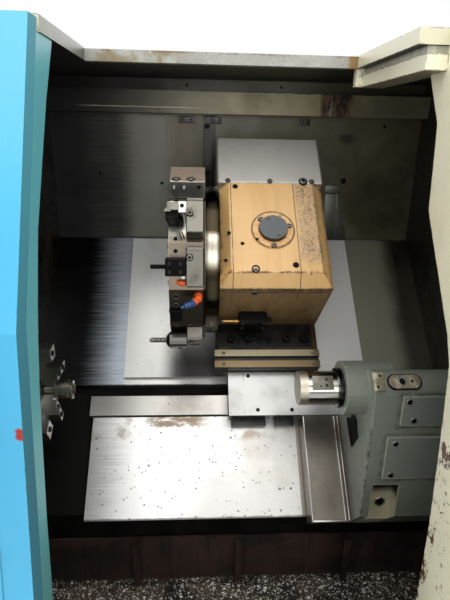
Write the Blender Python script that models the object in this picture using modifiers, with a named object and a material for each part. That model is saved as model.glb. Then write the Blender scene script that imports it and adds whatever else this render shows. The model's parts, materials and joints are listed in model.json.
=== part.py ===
"""CNC turning lathe with a slant bed, a twelve-station turret and a tailstock.

Three frames carry the pieces. The spindle frame has X along the spindle towards the
tailstock, -Y towards the operator and +Z up, with X = 0 at the turret. The slant frame is
turned about X, so its Y runs up the slope of the bed and its Z stands off the slope. The
panel frame lies on the upper front cover. Lengths are in metres.
"""
import math

import bmesh
import bpy
from mathutils import Matrix, Vector

# Driving dimensions of the machine
SPINDLE_HEIGHT = 1.05
SLANT = math.radians(45)
MACHINE_WIDTH = 2.50
MACHINE_DEPTH = 1.637
MACHINE_LEFT = -1.20
MACHINE_RIGHT = MACHINE_LEFT + MACHINE_WIDTH
ROOF_BOTTOM = 0.725
ROOF_THICKNESS = 0.027
OPENING_LEFT = -0.265
OPENING_RIGHT = 0.44
CHAMBER_LEFT = -0.455
CHAMBER_RIGHT = 0.72
CHUCK_RADIUS = 0.105
QUILL_RADIUS = 0.040
TURRET_STATIONS = 12
TURRET_UP_SLOPE = 0.3515
TURRET_PHASE = 5
GAP = 0.0003
CUT_OVERRUN = 0.004
FINE_SEGMENTS = 48
ROUND_SEGMENTS = 32
SMALL_SEGMENTS = 16

# Front outline of the enclosure, a nose between a leaning upper and a lower panel
NOSE_Y = -0.36
NOSE_Z = 0.287
ROOF_EDGE_Y = -0.155
ROOF_EDGE_Z = 0.75
SILL_TOP_Z = -0.35
SILL_BOTTOM_Z = -0.63
SILL_BOTTOM_Y = -0.487
PANEL_THICKNESS = 0.025

# Levels of the covers and slides, measured off the slope through the spindle axis
BED_LEVEL = -0.30
FIXED_COVER_LEVEL = -0.275
LOWER_COVER_LEVEL = -0.280
COVER_SHEET = 0.0035
STACK_STEP = 0.0070
SLIDEWAY_LEVEL = -0.206
CROSS_SLIDE_LEVEL = -0.165
TAILSTOCK_BASE_LEVEL = -0.210
FOLD_Y = 0.62


def clear_scene():
    for old in list(bpy.data.objects):
        bpy.data.objects.remove(old, do_unlink=True)


def new_collection(name):
    collection = bpy.data.collections.get(name) or bpy.data.collections.new(name)
    if collection.name not in bpy.context.scene.collection.children:
        bpy.context.scene.collection.children.link(collection)
    return collection


clear_scene()
PARTS = new_collection("cnc_turning_lathe")
CUTTERS = new_collection("cutters")


def material(name, colour, roughness, metallic=0.0):
    made = bpy.data.materials.new(name)
    made.use_nodes = True
    shader = made.node_tree.nodes["Principled BSDF"]
    shader.inputs["Base Color"].default_value = (*colour, 1.0)
    shader.inputs["Roughness"].default_value = roughness
    shader.inputs["Metallic"].default_value = metallic
    made.diffuse_color = (*colour, 1.0)
    return made


CYAN_PAINT = material("cyan_paint", (0.16, 0.68, 0.90), 0.35)
TEAL_PAINT = material("teal_paint", (0.10, 0.42, 0.45), 0.45)
CREAM_PAINT = material("cream_paint", (0.68, 0.66, 0.43), 0.45)
SAND_PAINT = material("sand_paint", (0.75, 0.46, 0.17), 0.45)
GREY_GREEN_PAINT = material("grey_green_paint", (0.20, 0.22, 0.19), 0.5)
DARK_PAINT = material("dark_paint", (0.05, 0.05, 0.045), 0.5)
STAINLESS = material("stainless_sheet", (0.62, 0.62, 0.60), 0.3, 1.0)
GALVANISED = material("galvanised_sheet", (0.45, 0.46, 0.46), 0.5, 1.0)
STEEL = material("machined_steel", (0.50, 0.50, 0.48), 0.3, 1.0)
BLACK_STEEL = material("blackened_steel", (0.04, 0.04, 0.04), 0.4, 1.0)
CAST_IRON = material("cast_iron", (0.16, 0.16, 0.15), 0.6, 1.0)
RUBBER = material("rubber", (0.02, 0.02, 0.02), 0.8)
GLASS = material("glass", (0.75, 0.80, 0.80), 0.05)
RED_PLASTIC = material("red_plastic", (0.65, 0.03, 0.02), 0.4)
ORANGE_PLASTIC = material("orange_plastic", (0.80, 0.20, 0.04), 0.4)


def frame(name, parent=None, location=(0, 0, 0), turn=0.0):
    """An empty that carries pieces: placed in its parent and turned about X."""
    empty = bpy.data.objects.new(name, None)
    empty.location = location
    empty.rotation_euler = (turn, 0, 0)
    empty.parent = parent
    PARTS.objects.link(empty)
    return empty


def front_y(z):
    """Where the front outline lies at height z."""
    if z >= NOSE_Z:
        share = (z - NOSE_Z) / (ROOF_EDGE_Z - NOSE_Z)
        return NOSE_Y + share * (ROOF_EDGE_Y - NOSE_Y)
    share = (z - NOSE_Z) / (SILL_BOTTOM_Z - NOSE_Z)
    return NOSE_Y + share * (SILL_BOTTOM_Y - NOSE_Y)


MACHINE_FRONT = front_y(SILL_BOTTOM_Z)
MACHINE_BACK = MACHINE_FRONT + MACHINE_DEPTH
UPPER_LEAN = math.atan2(ROOF_EDGE_Z - NOSE_Z, ROOF_EDGE_Y - NOSE_Y)

spindle_frame = frame("spindle_frame", None, (
    -(MACHINE_LEFT + MACHINE_RIGHT) / 2, -(MACHINE_FRONT + MACHINE_BACK) / 2, SPINDLE_HEIGHT))
slant_frame = frame("slant_frame", spindle_frame, turn=SLANT)
turret_frame = frame("turret_frame", slant_frame, (0, TURRET_UP_SLOPE, 0))
panel_frame = frame("panel_frame", spindle_frame, (0, NOSE_Y, NOSE_Z), UPPER_LEAN)


def mesh_object(name, mesh, parent, finish):
    thing = bpy.data.objects.new(name, mesh)
    thing.parent = parent
    if finish is None:
        thing.hide_render = True
        thing.display_type = 'WIRE'
        CUTTERS.objects.link(thing)
    else:
        mesh.materials.append(finish)
        PARTS.objects.link(thing)
    return thing


def smooth_round(mesh):
    mesh.shade_smooth()
    mesh.set_sharp_from_angle(angle=math.radians(35))


def add_bevel(thing, width, segments=1):
    bevel = thing.modifiers.new("bevel", 'BEVEL')
    bevel.width = width
    bevel.segments = segments
    bevel.limit_method = 'ANGLE'
    bevel.angle_limit = math.radians(40)


def block(name, parent, finish, x, y, z, bevel=0.0):
    """A box between two corners, given as (low, high) along each axis of its parent."""
    mesh = bpy.data.meshes.new(name)
    work = bmesh.new()
    centre = Vector([(low + high) / 2 for low, high in (x, y, z)])
    sides = [high - low for low, high in (x, y, z)]
    bmesh.ops.create_cube(work, size=1, matrix=Matrix.Translation(centre) @ Matrix.Diagonal((*sides, 1)))
    work.to_mesh(mesh)
    work.free()
    thing = mesh_object(name, mesh, parent, finish)
    if bevel:
        add_bevel(thing, bevel)
    return thing


ALONG_X = Matrix(((0, 0, 1, 0), (1, 0, 0, 0), (0, 1, 0, 0), (0, 0, 0, 1)))
ALONG_Y = Matrix(((0, 1, 0, 0), (0, 0, 1, 0), (1, 0, 0, 0), (0, 0, 0, 1)))
ALONG_Z = Matrix.Identity(4)


def rod(name, parent, finish, radius, low, high, centre=(0, 0), axis=ALONG_X,
        segments=ROUND_SEGMENTS, end_radius=None, turn=0.0):
    """A round bar or cone between two places on its axis."""
    mesh = bpy.data.meshes.new(name)
    work = bmesh.new()
    place = axis @ Matrix.Translation((centre[0], centre[1], (low + high) / 2)) @ Matrix.Rotation(turn, 4, 'Z')
    bmesh.ops.create_cone(work, cap_ends=True, segments=segments, radius1=radius,
                          radius2=radius if end_radius is None else end_radius,
                          depth=high - low, matrix=place)
    work.to_mesh(mesh)
    work.free()
    smooth_round(mesh)
    return mesh_object(name, mesh, parent, finish)


def prism(name, parent, finish, outline, low, high, axis=ALONG_X, round_outline=False, bevel=0.0):
    """A flat outline, drawn as a filled 2D curve and extruded from low to high."""
    curve = bpy.data.curves.new(name, 'CURVE')
    curve.dimensions = '2D'
    curve.fill_mode = 'BOTH'
    curve.extrude = (high - low) / 2
    line = curve.splines.new('POLY')
    line.points.add(len(outline) - 1)
    for point, (a, b) in zip(line.points, outline):
        point.co = (a, b, 0, 1)
    line.use_cyclic_u = True
    drawn = bpy.data.objects.new(name + "_drawn", curve)
    CUTTERS.objects.link(drawn)
    bpy.context.view_layer.update()
    mesh = bpy.data.meshes.new_from_object(drawn.evaluated_get(bpy.context.evaluated_depsgraph_get()))
    bpy.data.objects.remove(drawn, do_unlink=True)
    work = bmesh.new()
    work.from_mesh(mesh)
    bmesh.ops.remove_doubles(work, verts=work.verts, dist=GAP / 10)
    bmesh.ops.transform(work, matrix=axis @ Matrix.Translation((0, 0, (low + high) / 2)), verts=work.verts)
    bmesh.ops.recalc_face_normals(work, faces=work.faces)
    work.to_mesh(mesh)
    work.free()
    mesh.name = name
    if round_outline:
        smooth_round(mesh)
    thing = mesh_object(name, mesh, parent, finish)
    if bevel:
        add_bevel(thing, bevel)
    return thing


def turned(name, parent, finish, profile, centre=(0, 0), axis=ALONG_X, segments=FINE_SEGMENTS):
    """A turned piece: (radius, place) pairs from the far end down the outer side."""
    mesh = bpy.data.meshes.new(name)
    points = [(radius, 0, place) for radius, place in profile]
    closed = profile[0][0] > 0
    edges = [(i, i + 1) for i in range(len(points) - 1)]
    if closed:
        edges.append((len(points) - 1, 0))
    mesh.from_pydata(points, edges, [])
    thing = mesh_object(name, mesh, parent, finish)
    thing.matrix_local = axis @ Matrix.Translation((centre[0], centre[1], 0))
    screw = thing.modifiers.new("turning", 'SCREW')
    screw.axis = 'Z'
    screw.angle = math.tau
    screw.steps = segments
    screw.render_steps = segments
    screw.use_merge_vertices = True
    screw.merge_threshold = GAP / 10
    screw.use_smooth_shade = False
    return thing


def combine(operation, target, tools):
    for tool in tools:
        step = target.modifiers.new(operation.lower(), 'BOOLEAN')
        step.operation = operation
        step.solver = 'EXACT'
        step.object = tool
    return target


def cut(target, *tools):
    return combine('DIFFERENCE', target, tools)


def fuse(target, *tools):
    return combine('UNION', target, tools)


def arc(centre, radius, start, end, steps):
    """Points on an arc, angles in degrees."""
    points = []
    for i in range(steps + 1):
        angle = math.radians(start + (end - start) * i / steps)
        points.append((centre[0] + radius * math.cos(angle), centre[1] + radius * math.sin(angle)))
    return points


def front_band(low_z, high_z, inset, thickness):
    """Outline of a sheet that follows the front outline between two heights."""
    heights = [low_z, high_z] if not low_z < NOSE_Z < high_z else [low_z, NOSE_Z, high_z]
    outer = [(front_y(z) + inset, z) for z in heights]
    inner = [(front_y(z) + inset + thickness, z) for z in reversed(heights)]
    return outer + inner


# Base, bed and feet
BASE_END_MARGIN = 0.05
BASE_LEFT = MACHINE_LEFT + BASE_END_MARGIN
BASE_RIGHT = MACHINE_RIGHT - BASE_END_MARGIN
BASE_FRONT = -0.42
BASE_BACK = 0.78
BASE_BOTTOM = -0.95
BASE_TOP = -0.64
BASE_BEVEL = 0.012
TOE_RECESS_HEIGHT = 0.10
TOE_RECESS_DEPTH = 0.05
BED_LEFT = -0.98
BED_RIGHT = 1.10
BED_FRONT = 0.035
BED_BACK = 0.76
BED_TOP = 0.19
FOOT_PAD_RADIUS = 0.055
FOOT_PAD_HEIGHT = 0.022
FOOT_STEM_RADIUS = 0.016
FOOT_NUT_RADIUS = 0.028
FOOT_NUT_HEIGHT = 0.018
FOOT_INSET = 0.14


def make_base():
    outline = [(BASE_FRONT + TOE_RECESS_DEPTH, BASE_BOTTOM), (BASE_BACK, BASE_BOTTOM), (BASE_BACK, BASE_TOP),
               (BASE_FRONT, BASE_TOP), (BASE_FRONT, BASE_BOTTOM + TOE_RECESS_HEIGHT)]
    base = prism("machine_base", spindle_frame, CAST_IRON, outline, BASE_LEFT, BASE_RIGHT, bevel=BASE_BEVEL)
    fuse(base, *make_feet())


def slope_y(level, z):
    """Y of the plane at this level off the slope, at height z."""
    return z * math.tan(math.pi / 2 - SLANT) - level / math.sin(SLANT)


def slope_z(level, y):
    return y * math.tan(SLANT) + level / math.cos(SLANT)


def make_bed():
    outline = [(BED_FRONT, BASE_TOP + GAP), (BED_BACK, BASE_TOP + GAP), (BED_BACK, BED_TOP),
               (slope_y(BED_LEVEL, BED_TOP), BED_TOP), (BED_FRONT, slope_z(BED_LEVEL, BED_FRONT))]
    prism("slant_bed", spindle_frame, CAST_IRON, outline, BED_LEFT, BED_RIGHT)


def make_feet():
    floor = -SPINDLE_HEIGHT
    places = [(x, y) for x in (BASE_LEFT + FOOT_INSET, BASE_RIGHT - FOOT_INSET)
              for y in (BASE_FRONT + TOE_RECESS_DEPTH + FOOT_INSET, BASE_BACK - FOOT_INSET)]
    nut_top = BASE_BOTTOM + FOOT_NUT_HEIGHT / 2
    feet = []
    for number, place in enumerate(places, 1):
        profile = [(0, nut_top), (FOOT_NUT_RADIUS, nut_top), (FOOT_NUT_RADIUS, nut_top - FOOT_NUT_HEIGHT),
                   (FOOT_STEM_RADIUS, nut_top - FOOT_NUT_HEIGHT), (FOOT_STEM_RADIUS, floor + 2 * FOOT_PAD_HEIGHT),
                   (FOOT_PAD_RADIUS, floor + FOOT_PAD_HEIGHT), (FOOT_PAD_RADIUS, floor), (0, floor)]
        feet.append(turned(f"levelling_foot_{number}", spindle_frame, None, profile, place, ALONG_Z, SMALL_SEGMENTS))
    return feet


# Enclosure
DOOR_THICKNESS = 0.045
DOOR_GAP = 0.005
DOOR_WIDTH = 0.76
DOOR_EDGE_GAP = 0.002
DOOR_TOP_Z = 0.745
RAIL_HEIGHT = 0.02
RAIL_DEPTH = 0.018
DOOR_BOTTOM_Z = SILL_TOP_Z + RAIL_HEIGHT + GAP
SIDE_THICKNESS = 0.025
CABINET_DEPTH = 0.35
ENCLOSURE_BACK = MACHINE_BACK - CABINET_DEPTH
NOTCH_LEFT = -0.262
NOTCH_RIGHT = 0.383
NOTCH_BACK = 0.244
JAMB_THICKNESS = 0.02
# Inner edges of the jambs as (Y, Z), from the sill up
LEFT_JAMB_EDGE = ((-0.340, -0.35), (-0.316, -0.088), (-0.297, 0.045), (-0.285, 0.136), (-0.262, 0.237),
                  (-0.2435, 0.301), (-0.206, 0.412), (-0.1365, 0.5375), (-0.090, 0.620), (-0.0200, 0.727))
RIGHT_JAMB_EDGE = ((-0.315, -0.35), (-0.3105, -0.124), (-0.298, 0.034), (-0.2817, 0.192), (-0.258, 0.243),
                   (-0.116, 0.439), (-0.099, 0.595), (-0.04, 0.684), (-0.01, 0.727))
SIDE_RAIL_LEFT = 0.400
SIDE_RAIL_LOW_Z = 0.684
SIDE_RAIL_HIGH_Z = 0.711
SIDE_RAIL_BACK_Y = 0.25
SIDE_RAIL_END = 0.02
SIDE_RAIL_WEB = 0.004
HEADER_HEIGHT = 0.026
HEADER_TOP_Z = 0.750
HEADER_DEPTH = 0.03
WINDOW_LEFT_MARGIN = 0.10
WINDOW_RIGHT_MARGIN = 0.16
WINDOW_LOW_Z = 0.34
WINDOW_HIGH_Z = 0.67
WINDOW_REBATE = 0.012
WINDOW_GLASS = 0.008
HANDLE_RADIUS = 0.011
HANDLE_OFFSET = 0.10
HANDLE_LOW_Z = -0.06
HANDLE_HIGH_Z = 0.20
HANDLE_REACH = 0.05
HANDLE_SEAT = 0.0019
CABINET_LEFT = -0.55
CABINET_RIGHT = 0.95
CABINET_BOTTOM = -0.78
CABINET_TOP = 0.68
CABINET_DOOR_GAP = 0.004
CABINET_DOOR_LIP = 0.012
CABINET_MARGIN = 0.04
COVER_BEVEL = 0.004
PLATE_BEVEL = 0.002


def make_front_covers():
    left_inset = DOOR_THICKNESS + DOOR_GAP
    inner_left = MACHINE_LEFT + SIDE_THICKNESS + GAP
    inner_right = MACHINE_RIGHT - SIDE_THICKNESS - GAP
    prism("front_left_cover", spindle_frame, TEAL_PAINT,
          front_band(SILL_TOP_Z + GAP, ROOF_BOTTOM - GAP, left_inset, PANEL_THICKNESS),
          inner_left, OPENING_LEFT - JAMB_THICKNESS - GAP)
    prism("front_right_cover", spindle_frame, CREAM_PAINT,
          front_band(SILL_TOP_Z + GAP, ROOF_BOTTOM - GAP, 0, PANEL_THICKNESS),
          OPENING_RIGHT + JAMB_THICKNESS + GAP, inner_right)
    prism("sill_cover", spindle_frame, CREAM_PAINT,
          front_band(SILL_BOTTOM_Z, SILL_TOP_Z, 0, PANEL_THICKNESS), inner_left, inner_right)


def jamb_outline(inset, edge):
    """The jamb between the front outline and its own inner edge."""
    bottom, top = SILL_TOP_Z + GAP, ROOF_BOTTOM - GAP
    inner = [(y, min(max(z, bottom), top)) for y, z in edge]
    return [(front_y(bottom) + inset, bottom)] + inner + [(front_y(top) + inset, top), (NOSE_Y + inset, NOSE_Z)]


def make_jambs():
    left_outline = jamb_outline(DOOR_THICKNESS + DOOR_GAP, LEFT_JAMB_EDGE)
    prism("left_jamb", spindle_frame, TEAL_PAINT, left_outline, OPENING_LEFT - JAMB_THICKNESS, OPENING_LEFT)
    right = OPENING_RIGHT + JAMB_THICKNESS
    jamb = prism("right_jamb", spindle_frame, CREAM_PAINT, jamb_outline(0, RIGHT_JAMB_EDGE), OPENING_RIGHT, right)
    # A channel runs from the jamb back under the edge of the roof
    back = SIDE_RAIL_BACK_Y + SIDE_RAIL_END
    front = front_y(ROOF_BOTTOM) + PANEL_THICKNESS
    rail = block("side_rail", spindle_frame, None, (SIDE_RAIL_LEFT, right),
                 (ROOF_EDGE_Y + DOOR_THICKNESS + DOOR_GAP, back), (SIDE_RAIL_LOW_Z, SIDE_RAIL_HIGH_Z))
    web = block("side_rail_web", spindle_frame, None, (OPENING_RIGHT, right), (front, back),
                (SIDE_RAIL_LOW_Z, ROOF_BOTTOM - GAP))
    end = block("side_rail_end", spindle_frame, None, (NOTCH_RIGHT, right), (SIDE_RAIL_BACK_Y, back),
                (SIDE_RAIL_LOW_Z, ROOF_BOTTOM - GAP))
    fuse(jamb, rail, web, end)


def make_roof():
    """The roof behind the door's path, with its notch over the opening, and the beam along the notch."""
    front = front_y(ROOF_BOTTOM)
    inner = ROOF_EDGE_Y + DOOR_THICKNESS + DOOR_GAP
    notch_back = NOTCH_BACK + HEADER_DEPTH
    outline = [(ENCLOSURE_BACK, MACHINE_LEFT), (inner, MACHINE_LEFT), (inner, NOTCH_LEFT), (notch_back, NOTCH_LEFT),
               (notch_back, NOTCH_RIGHT), (inner, NOTCH_RIGHT), (inner, OPENING_RIGHT), (front, OPENING_RIGHT),
               (front, MACHINE_RIGHT), (ENCLOSURE_BACK, MACHINE_RIGHT)]
    prism("roof_cover", spindle_frame, CREAM_PAINT, [(x, y) for y, x in outline], ROOF_BOTTOM,
          ROOF_BOTTOM + ROOF_THICKNESS, axis=ALONG_Z)
    block("header_beam", spindle_frame, GALVANISED, (NOTCH_LEFT + GAP, NOTCH_RIGHT - GAP),
          (NOTCH_BACK, notch_back - GAP), (HEADER_TOP_Z - HEADER_HEIGHT, HEADER_TOP_Z))


def make_side_covers():
    outline = [(front_y(SILL_BOTTOM_Z), SILL_BOTTOM_Z), (ENCLOSURE_BACK, SILL_BOTTOM_Z),
               (ENCLOSURE_BACK, ROOF_BOTTOM - GAP), (front_y(ROOF_BOTTOM - GAP), ROOF_BOTTOM - GAP), (NOSE_Y, NOSE_Z)]
    prism("left_side_cover", spindle_frame, CREAM_PAINT, outline, MACHINE_LEFT, MACHINE_LEFT + SIDE_THICKNESS)
    prism("right_side_cover", spindle_frame, CREAM_PAINT, outline, MACHINE_RIGHT - SIDE_THICKNESS, MACHINE_RIGHT)
    block("rear_cover", spindle_frame, CREAM_PAINT,
          (MACHINE_LEFT + SIDE_THICKNESS + GAP, MACHINE_RIGHT - SIDE_THICKNESS - GAP),
          (ENCLOSURE_BACK - PANEL_THICKNESS / 2, ENCLOSURE_BACK), (SILL_BOTTOM_Z, ROOF_BOTTOM - GAP))


def make_cabinet():
    cabinet = block("electrical_cabinet", spindle_frame, CREAM_PAINT, (CABINET_LEFT, CABINET_RIGHT),
                    (ENCLOSURE_BACK + GAP, MACHINE_BACK), (CABINET_BOTTOM, CABINET_TOP), COVER_BEVEL)
    middle = (CABINET_LEFT + CABINET_RIGHT) / 2
    seam = block("cabinet_seam", spindle_frame, None, (middle - CABINET_DOOR_GAP / 2, middle + CABINET_DOOR_GAP / 2),
                 (MACHINE_BACK - CABINET_DOOR_LIP, MACHINE_BACK + CUT_OVERRUN),
                 (CABINET_BOTTOM + CABINET_MARGIN, CABINET_TOP - CABINET_MARGIN))
    cut(cabinet, seam)


def make_door():
    left = OPENING_LEFT + DOOR_EDGE_GAP - DOOR_WIDTH
    right = OPENING_LEFT + DOOR_EDGE_GAP
    leaf = prism("door_leaf", spindle_frame, CYAN_PAINT,
                 front_band(DOOR_BOTTOM_Z, DOOR_TOP_Z, 0, DOOR_THICKNESS), left, right)
    glass_left, glass_right = left + WINDOW_LEFT_MARGIN, right - WINDOW_RIGHT_MARGIN
    middle = (WINDOW_REBATE + WINDOW_GLASS) / 2
    hole = prism("door_window_hole", spindle_frame, None,
                 front_band(WINDOW_LOW_Z + WINDOW_REBATE, WINDOW_HIGH_Z - WINDOW_REBATE,
                            -CUT_OVERRUN, DOOR_THICKNESS + 2 * CUT_OVERRUN),
                 glass_left + WINDOW_REBATE, glass_right - WINDOW_REBATE)
    rebate = prism("door_window_rebate", spindle_frame, None,
                   front_band(WINDOW_LOW_Z, WINDOW_HIGH_Z, -CUT_OVERRUN, CUT_OVERRUN + middle + WINDOW_GLASS / 2),
                   glass_left, glass_right)
    cut(leaf, hole, rebate)
    prism("door_window", spindle_frame, GLASS,
          front_band(WINDOW_LOW_Z + GAP, WINDOW_HIGH_Z - GAP, middle - WINDOW_GLASS / 2, WINDOW_GLASS - GAP),
          glass_left + GAP, glass_right - GAP)
    make_handle(right - HANDLE_OFFSET)
    rail_y = front_y(SILL_TOP_Z) + (DOOR_THICKNESS - RAIL_DEPTH) / 2
    block("door_rail", spindle_frame, STEEL, (MACHINE_LEFT + SIDE_THICKNESS + GAP, OPENING_RIGHT - GAP),
          (rail_y, rail_y + RAIL_DEPTH), (SILL_TOP_Z + GAP, SILL_TOP_Z + RAIL_HEIGHT))


def make_handle(x):
    """A bent grab rail that stands off the lower door panel."""
    low_y, high_y = front_y(HANDLE_LOW_Z) - HANDLE_SEAT, front_y(HANDLE_HIGH_Z) - HANDLE_SEAT
    route = [(low_y, HANDLE_LOW_Z), (low_y - HANDLE_REACH / 2, HANDLE_LOW_Z),
             (low_y - HANDLE_REACH, HANDLE_LOW_Z + HANDLE_REACH / 2),
             (high_y - HANDLE_REACH, HANDLE_HIGH_Z - HANDLE_REACH / 2),
             (high_y - HANDLE_REACH / 2, HANDLE_HIGH_Z), (high_y, HANDLE_HIGH_Z)]
    bent_tube("door_handle", spindle_frame, STEEL, [(x, y, z) for y, z in route], HANDLE_RADIUS)


def bent_tube(name, parent, material, route, radius):
    """A round tube along a route of straight lengths."""
    curve = bpy.data.curves.new(name, 'CURVE')
    curve.dimensions = '3D'
    curve.bevel_depth = radius
    curve.bevel_resolution = 2
    curve.use_fill_caps = True
    curve.materials.append(material)
    line = curve.splines.new('POLY')
    line.points.add(len(route) - 1)
    for point, place in zip(line.points, route):
        point.co = (*place, 1)
    tube = bpy.data.objects.new(name, curve)
    tube.parent = parent
    PARTS.objects.link(tube)


# Walls and covers inside the machining chamber
BULKHEAD_THICKNESS = 0.02
BULKHEAD_FRONT_GAP = 0.08
SPINDLE_HOLE_RADIUS = CHUCK_RADIUS + 0.008
REAR_WALL_TOP = ROOF_BOTTOM - GAP
REAR_BEAM_LOW_Z = 0.625
REAR_BEAM_HIGH_Z = 0.69
REAR_BEAM_REACH = 0.045
REAR_WALL_THICKNESS = 0.012
COVER_TOP_U = 0.600
COVER_BOTTOM_U = 0.092
SADDLE_LEFT = 0.14
SADDLE_RIGHT = 0.26
SADDLE_BOTTOM_U = 0.16
SADDLE_TOP_U = 0.58
CARRIAGE_LEFT_TRAVEL = 0.14
CARRIAGE_RIGHT_TRAVEL = 0.04
SLOT_CLEARANCE = 0.008
GUIDE_LOW_U = 0.005
GUIDE_HIGH_U = 0.060
GUIDE_LEFT = -0.30
LOWER_COVER_TOP_U = 0.0
LOWER_COVER_BOTTOM_U = -0.268
LOWER_COVER_LEFT = -0.29
PAN_SHEET = 0.005
PAN_FRONT_Y = -0.40
PAN_BACK_Y = 0.03
PAN_WALL_HEIGHT = 0.17
PAN_FRONT_HEIGHT = 0.20
PAN_RIB_PLACES = (-0.16, 0.115, 0.41)
PAN_RIB_WIDTH = 0.018
PAN_RIB_DEPTH = 0.02


def make_bulkheads():
    bottom = SILL_BOTTOM_Z + PAN_SHEET + 2 * GAP
    top = ROOF_BOTTOM - GAP
    back = FOLD_Y + REAR_WALL_THICKNESS + PANEL_THICKNESS
    outline = [(front_y(bottom) + BULKHEAD_FRONT_GAP, bottom), (BED_FRONT - GAP, bottom),
               (BED_FRONT - GAP, slope_z(BED_LEVEL, BED_FRONT) + GAP), (slope_y(BED_LEVEL, BED_TOP), BED_TOP + 2 * GAP),
               (back, BED_TOP + 2 * GAP), (back, top), (front_y(top) + BULKHEAD_FRONT_GAP, top),
               (NOSE_Y + BULKHEAD_FRONT_GAP, NOSE_Z)]
    left = prism("left_bulkhead", spindle_frame, DARK_PAINT, outline, CHAMBER_LEFT - BULKHEAD_THICKNESS, CHAMBER_LEFT)
    hole = rod("spindle_hole", spindle_frame, None, SPINDLE_HOLE_RADIUS,
               CHAMBER_LEFT - BULKHEAD_THICKNESS - CUT_OVERRUN, CHAMBER_LEFT + CUT_OVERRUN)
    cut(left, hole)
    prism("right_bulkhead", spindle_frame, GREY_GREEN_PAINT, outline, CHAMBER_RIGHT, CHAMBER_RIGHT + BULKHEAD_THICKNESS)


def make_rear_wall():
    low = slope_z(FIXED_COVER_LEVEL, FOLD_Y)
    outline = [(FOLD_Y, low), (FOLD_Y, REAR_BEAM_LOW_Z), (FOLD_Y - REAR_BEAM_REACH, REAR_BEAM_LOW_Z),
               (FOLD_Y - REAR_BEAM_REACH, REAR_BEAM_HIGH_Z), (FOLD_Y, REAR_BEAM_HIGH_Z), (FOLD_Y, REAR_WALL_TOP),
               (FOLD_Y + REAR_WALL_THICKNESS, REAR_WALL_TOP), (FOLD_Y + REAR_WALL_THICKNESS, low)]
    prism("rear_chamber_wall", spindle_frame, GALVANISED, outline, CHAMBER_LEFT + GAP, CHAMBER_RIGHT - GAP)


def make_fixed_covers():
    """The fixed slant cover, with the slot that the saddle travels in, and the guide strip."""
    left, right = CHAMBER_LEFT + GAP, CHAMBER_RIGHT - GAP
    low_level = FIXED_COVER_LEVEL - COVER_SHEET
    lip_level = BED_LEVEL + GAP
    outline = [(COVER_BOTTOM_U, lip_level), (COVER_BOTTOM_U + COVER_SHEET, lip_level),
               (COVER_BOTTOM_U + COVER_SHEET, low_level), (COVER_TOP_U, low_level), (COVER_TOP_U, FIXED_COVER_LEVEL),
               (COVER_BOTTOM_U, FIXED_COVER_LEVEL)]
    cover = prism("slant_cover", slant_frame, STAINLESS, outline, left, right)
    slot = block("saddle_slot", slant_frame, None,
                 (SADDLE_LEFT - CARRIAGE_LEFT_TRAVEL - SLOT_CLEARANCE, SADDLE_RIGHT + CARRIAGE_RIGHT_TRAVEL + SLOT_CLEARANCE),
                 (SADDLE_BOTTOM_U - SLOT_CLEARANCE, SADDLE_TOP_U + SLOT_CLEARANCE),
                 (low_level - CUT_OVERRUN, FIXED_COVER_LEVEL + CUT_OVERRUN))
    cut(cover, slot)
    block("tailstock_guide", slant_frame, STEEL, (GUIDE_LEFT, right), (GUIDE_LOW_U, GUIDE_HIGH_U),
          (BED_LEVEL + GAP, FIXED_COVER_LEVEL))
    block("lower_cover", slant_frame, STAINLESS, (LOWER_COVER_LEFT, right),
          (LOWER_COVER_BOTTOM_U, LOWER_COVER_TOP_U), (BED_LEVEL + GAP, LOWER_COVER_LEVEL))


def make_chip_pan():
    floor = SILL_BOTTOM_Z
    outline = [(PAN_FRONT_Y, floor), (PAN_BACK_Y, floor), (PAN_BACK_Y, floor + PAN_WALL_HEIGHT),
               (PAN_BACK_Y - PAN_SHEET, floor + PAN_WALL_HEIGHT), (PAN_BACK_Y - PAN_SHEET, floor + PAN_SHEET),
               (PAN_FRONT_Y + PAN_SHEET, floor + PAN_SHEET), (PAN_FRONT_Y + PAN_SHEET, floor + PAN_FRONT_HEIGHT),
               (PAN_FRONT_Y, floor + PAN_FRONT_HEIGHT)]
    left, right = CHAMBER_LEFT + GAP, CHAMBER_RIGHT - GAP
    pan = prism("chip_pan", spindle_frame, DARK_PAINT, outline, left, right)
    back = PAN_BACK_Y - PAN_SHEET
    for number, x in enumerate(PAN_RIB_PLACES, 1):
        rib = block(f"pan_rib_{number}", spindle_frame, None, (x - PAN_RIB_WIDTH / 2, x + PAN_RIB_WIDTH / 2),
                    (back - PAN_RIB_DEPTH, back + PAN_SHEET / 2), (floor + PAN_SHEET / 2, floor + PAN_WALL_HEIGHT - PAN_SHEET))
        fuse(pan, rib)


# Headstock, spindle, drive and chuck
HEADSTOCK_LEFT = -0.96
HEADSTOCK_RIGHT = -0.49
HEADSTOCK_BACK_U = 0.20
HEADSTOCK_FRONT_U = -0.20
HEADSTOCK_NOSE_RADIUS = 0.19
SPINDLE_RADIUS = 0.085
SPINDLE_BORE = 0.026
SPINDLE_NOSE_RADIUS = 0.09
SPINDLE_NOSE = -0.455
SPINDLE_REAR = -1.12
SPINDLE_CLEARANCE = 0.0004
PULLEY_LEFT = -1.06
PULLEY_WIDTH = 0.06
PULLEY_RADIUS = 0.115
MOTOR_PULLEY_RADIUS = 0.080
BELT_THICKNESS = 0.008
MOTOR_Y = 0.53
MOTOR_Z = 0.37
MOTOR_HALF = 0.13
MOTOR_LEFT = -0.97
MOTOR_RIGHT = -0.55
MOTOR_SHAFT_RADIUS = 0.024
CHUCK_BACK = -0.4547
CHUCK_FACE = -0.352
CHUCK_GROOVE = 0.006
CHUCK_BORE = 0.032
JAW_WIDTH = 0.034
JAW_SLOT_DEPTH = 0.022
JAW_ROOT_X = -0.372
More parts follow.
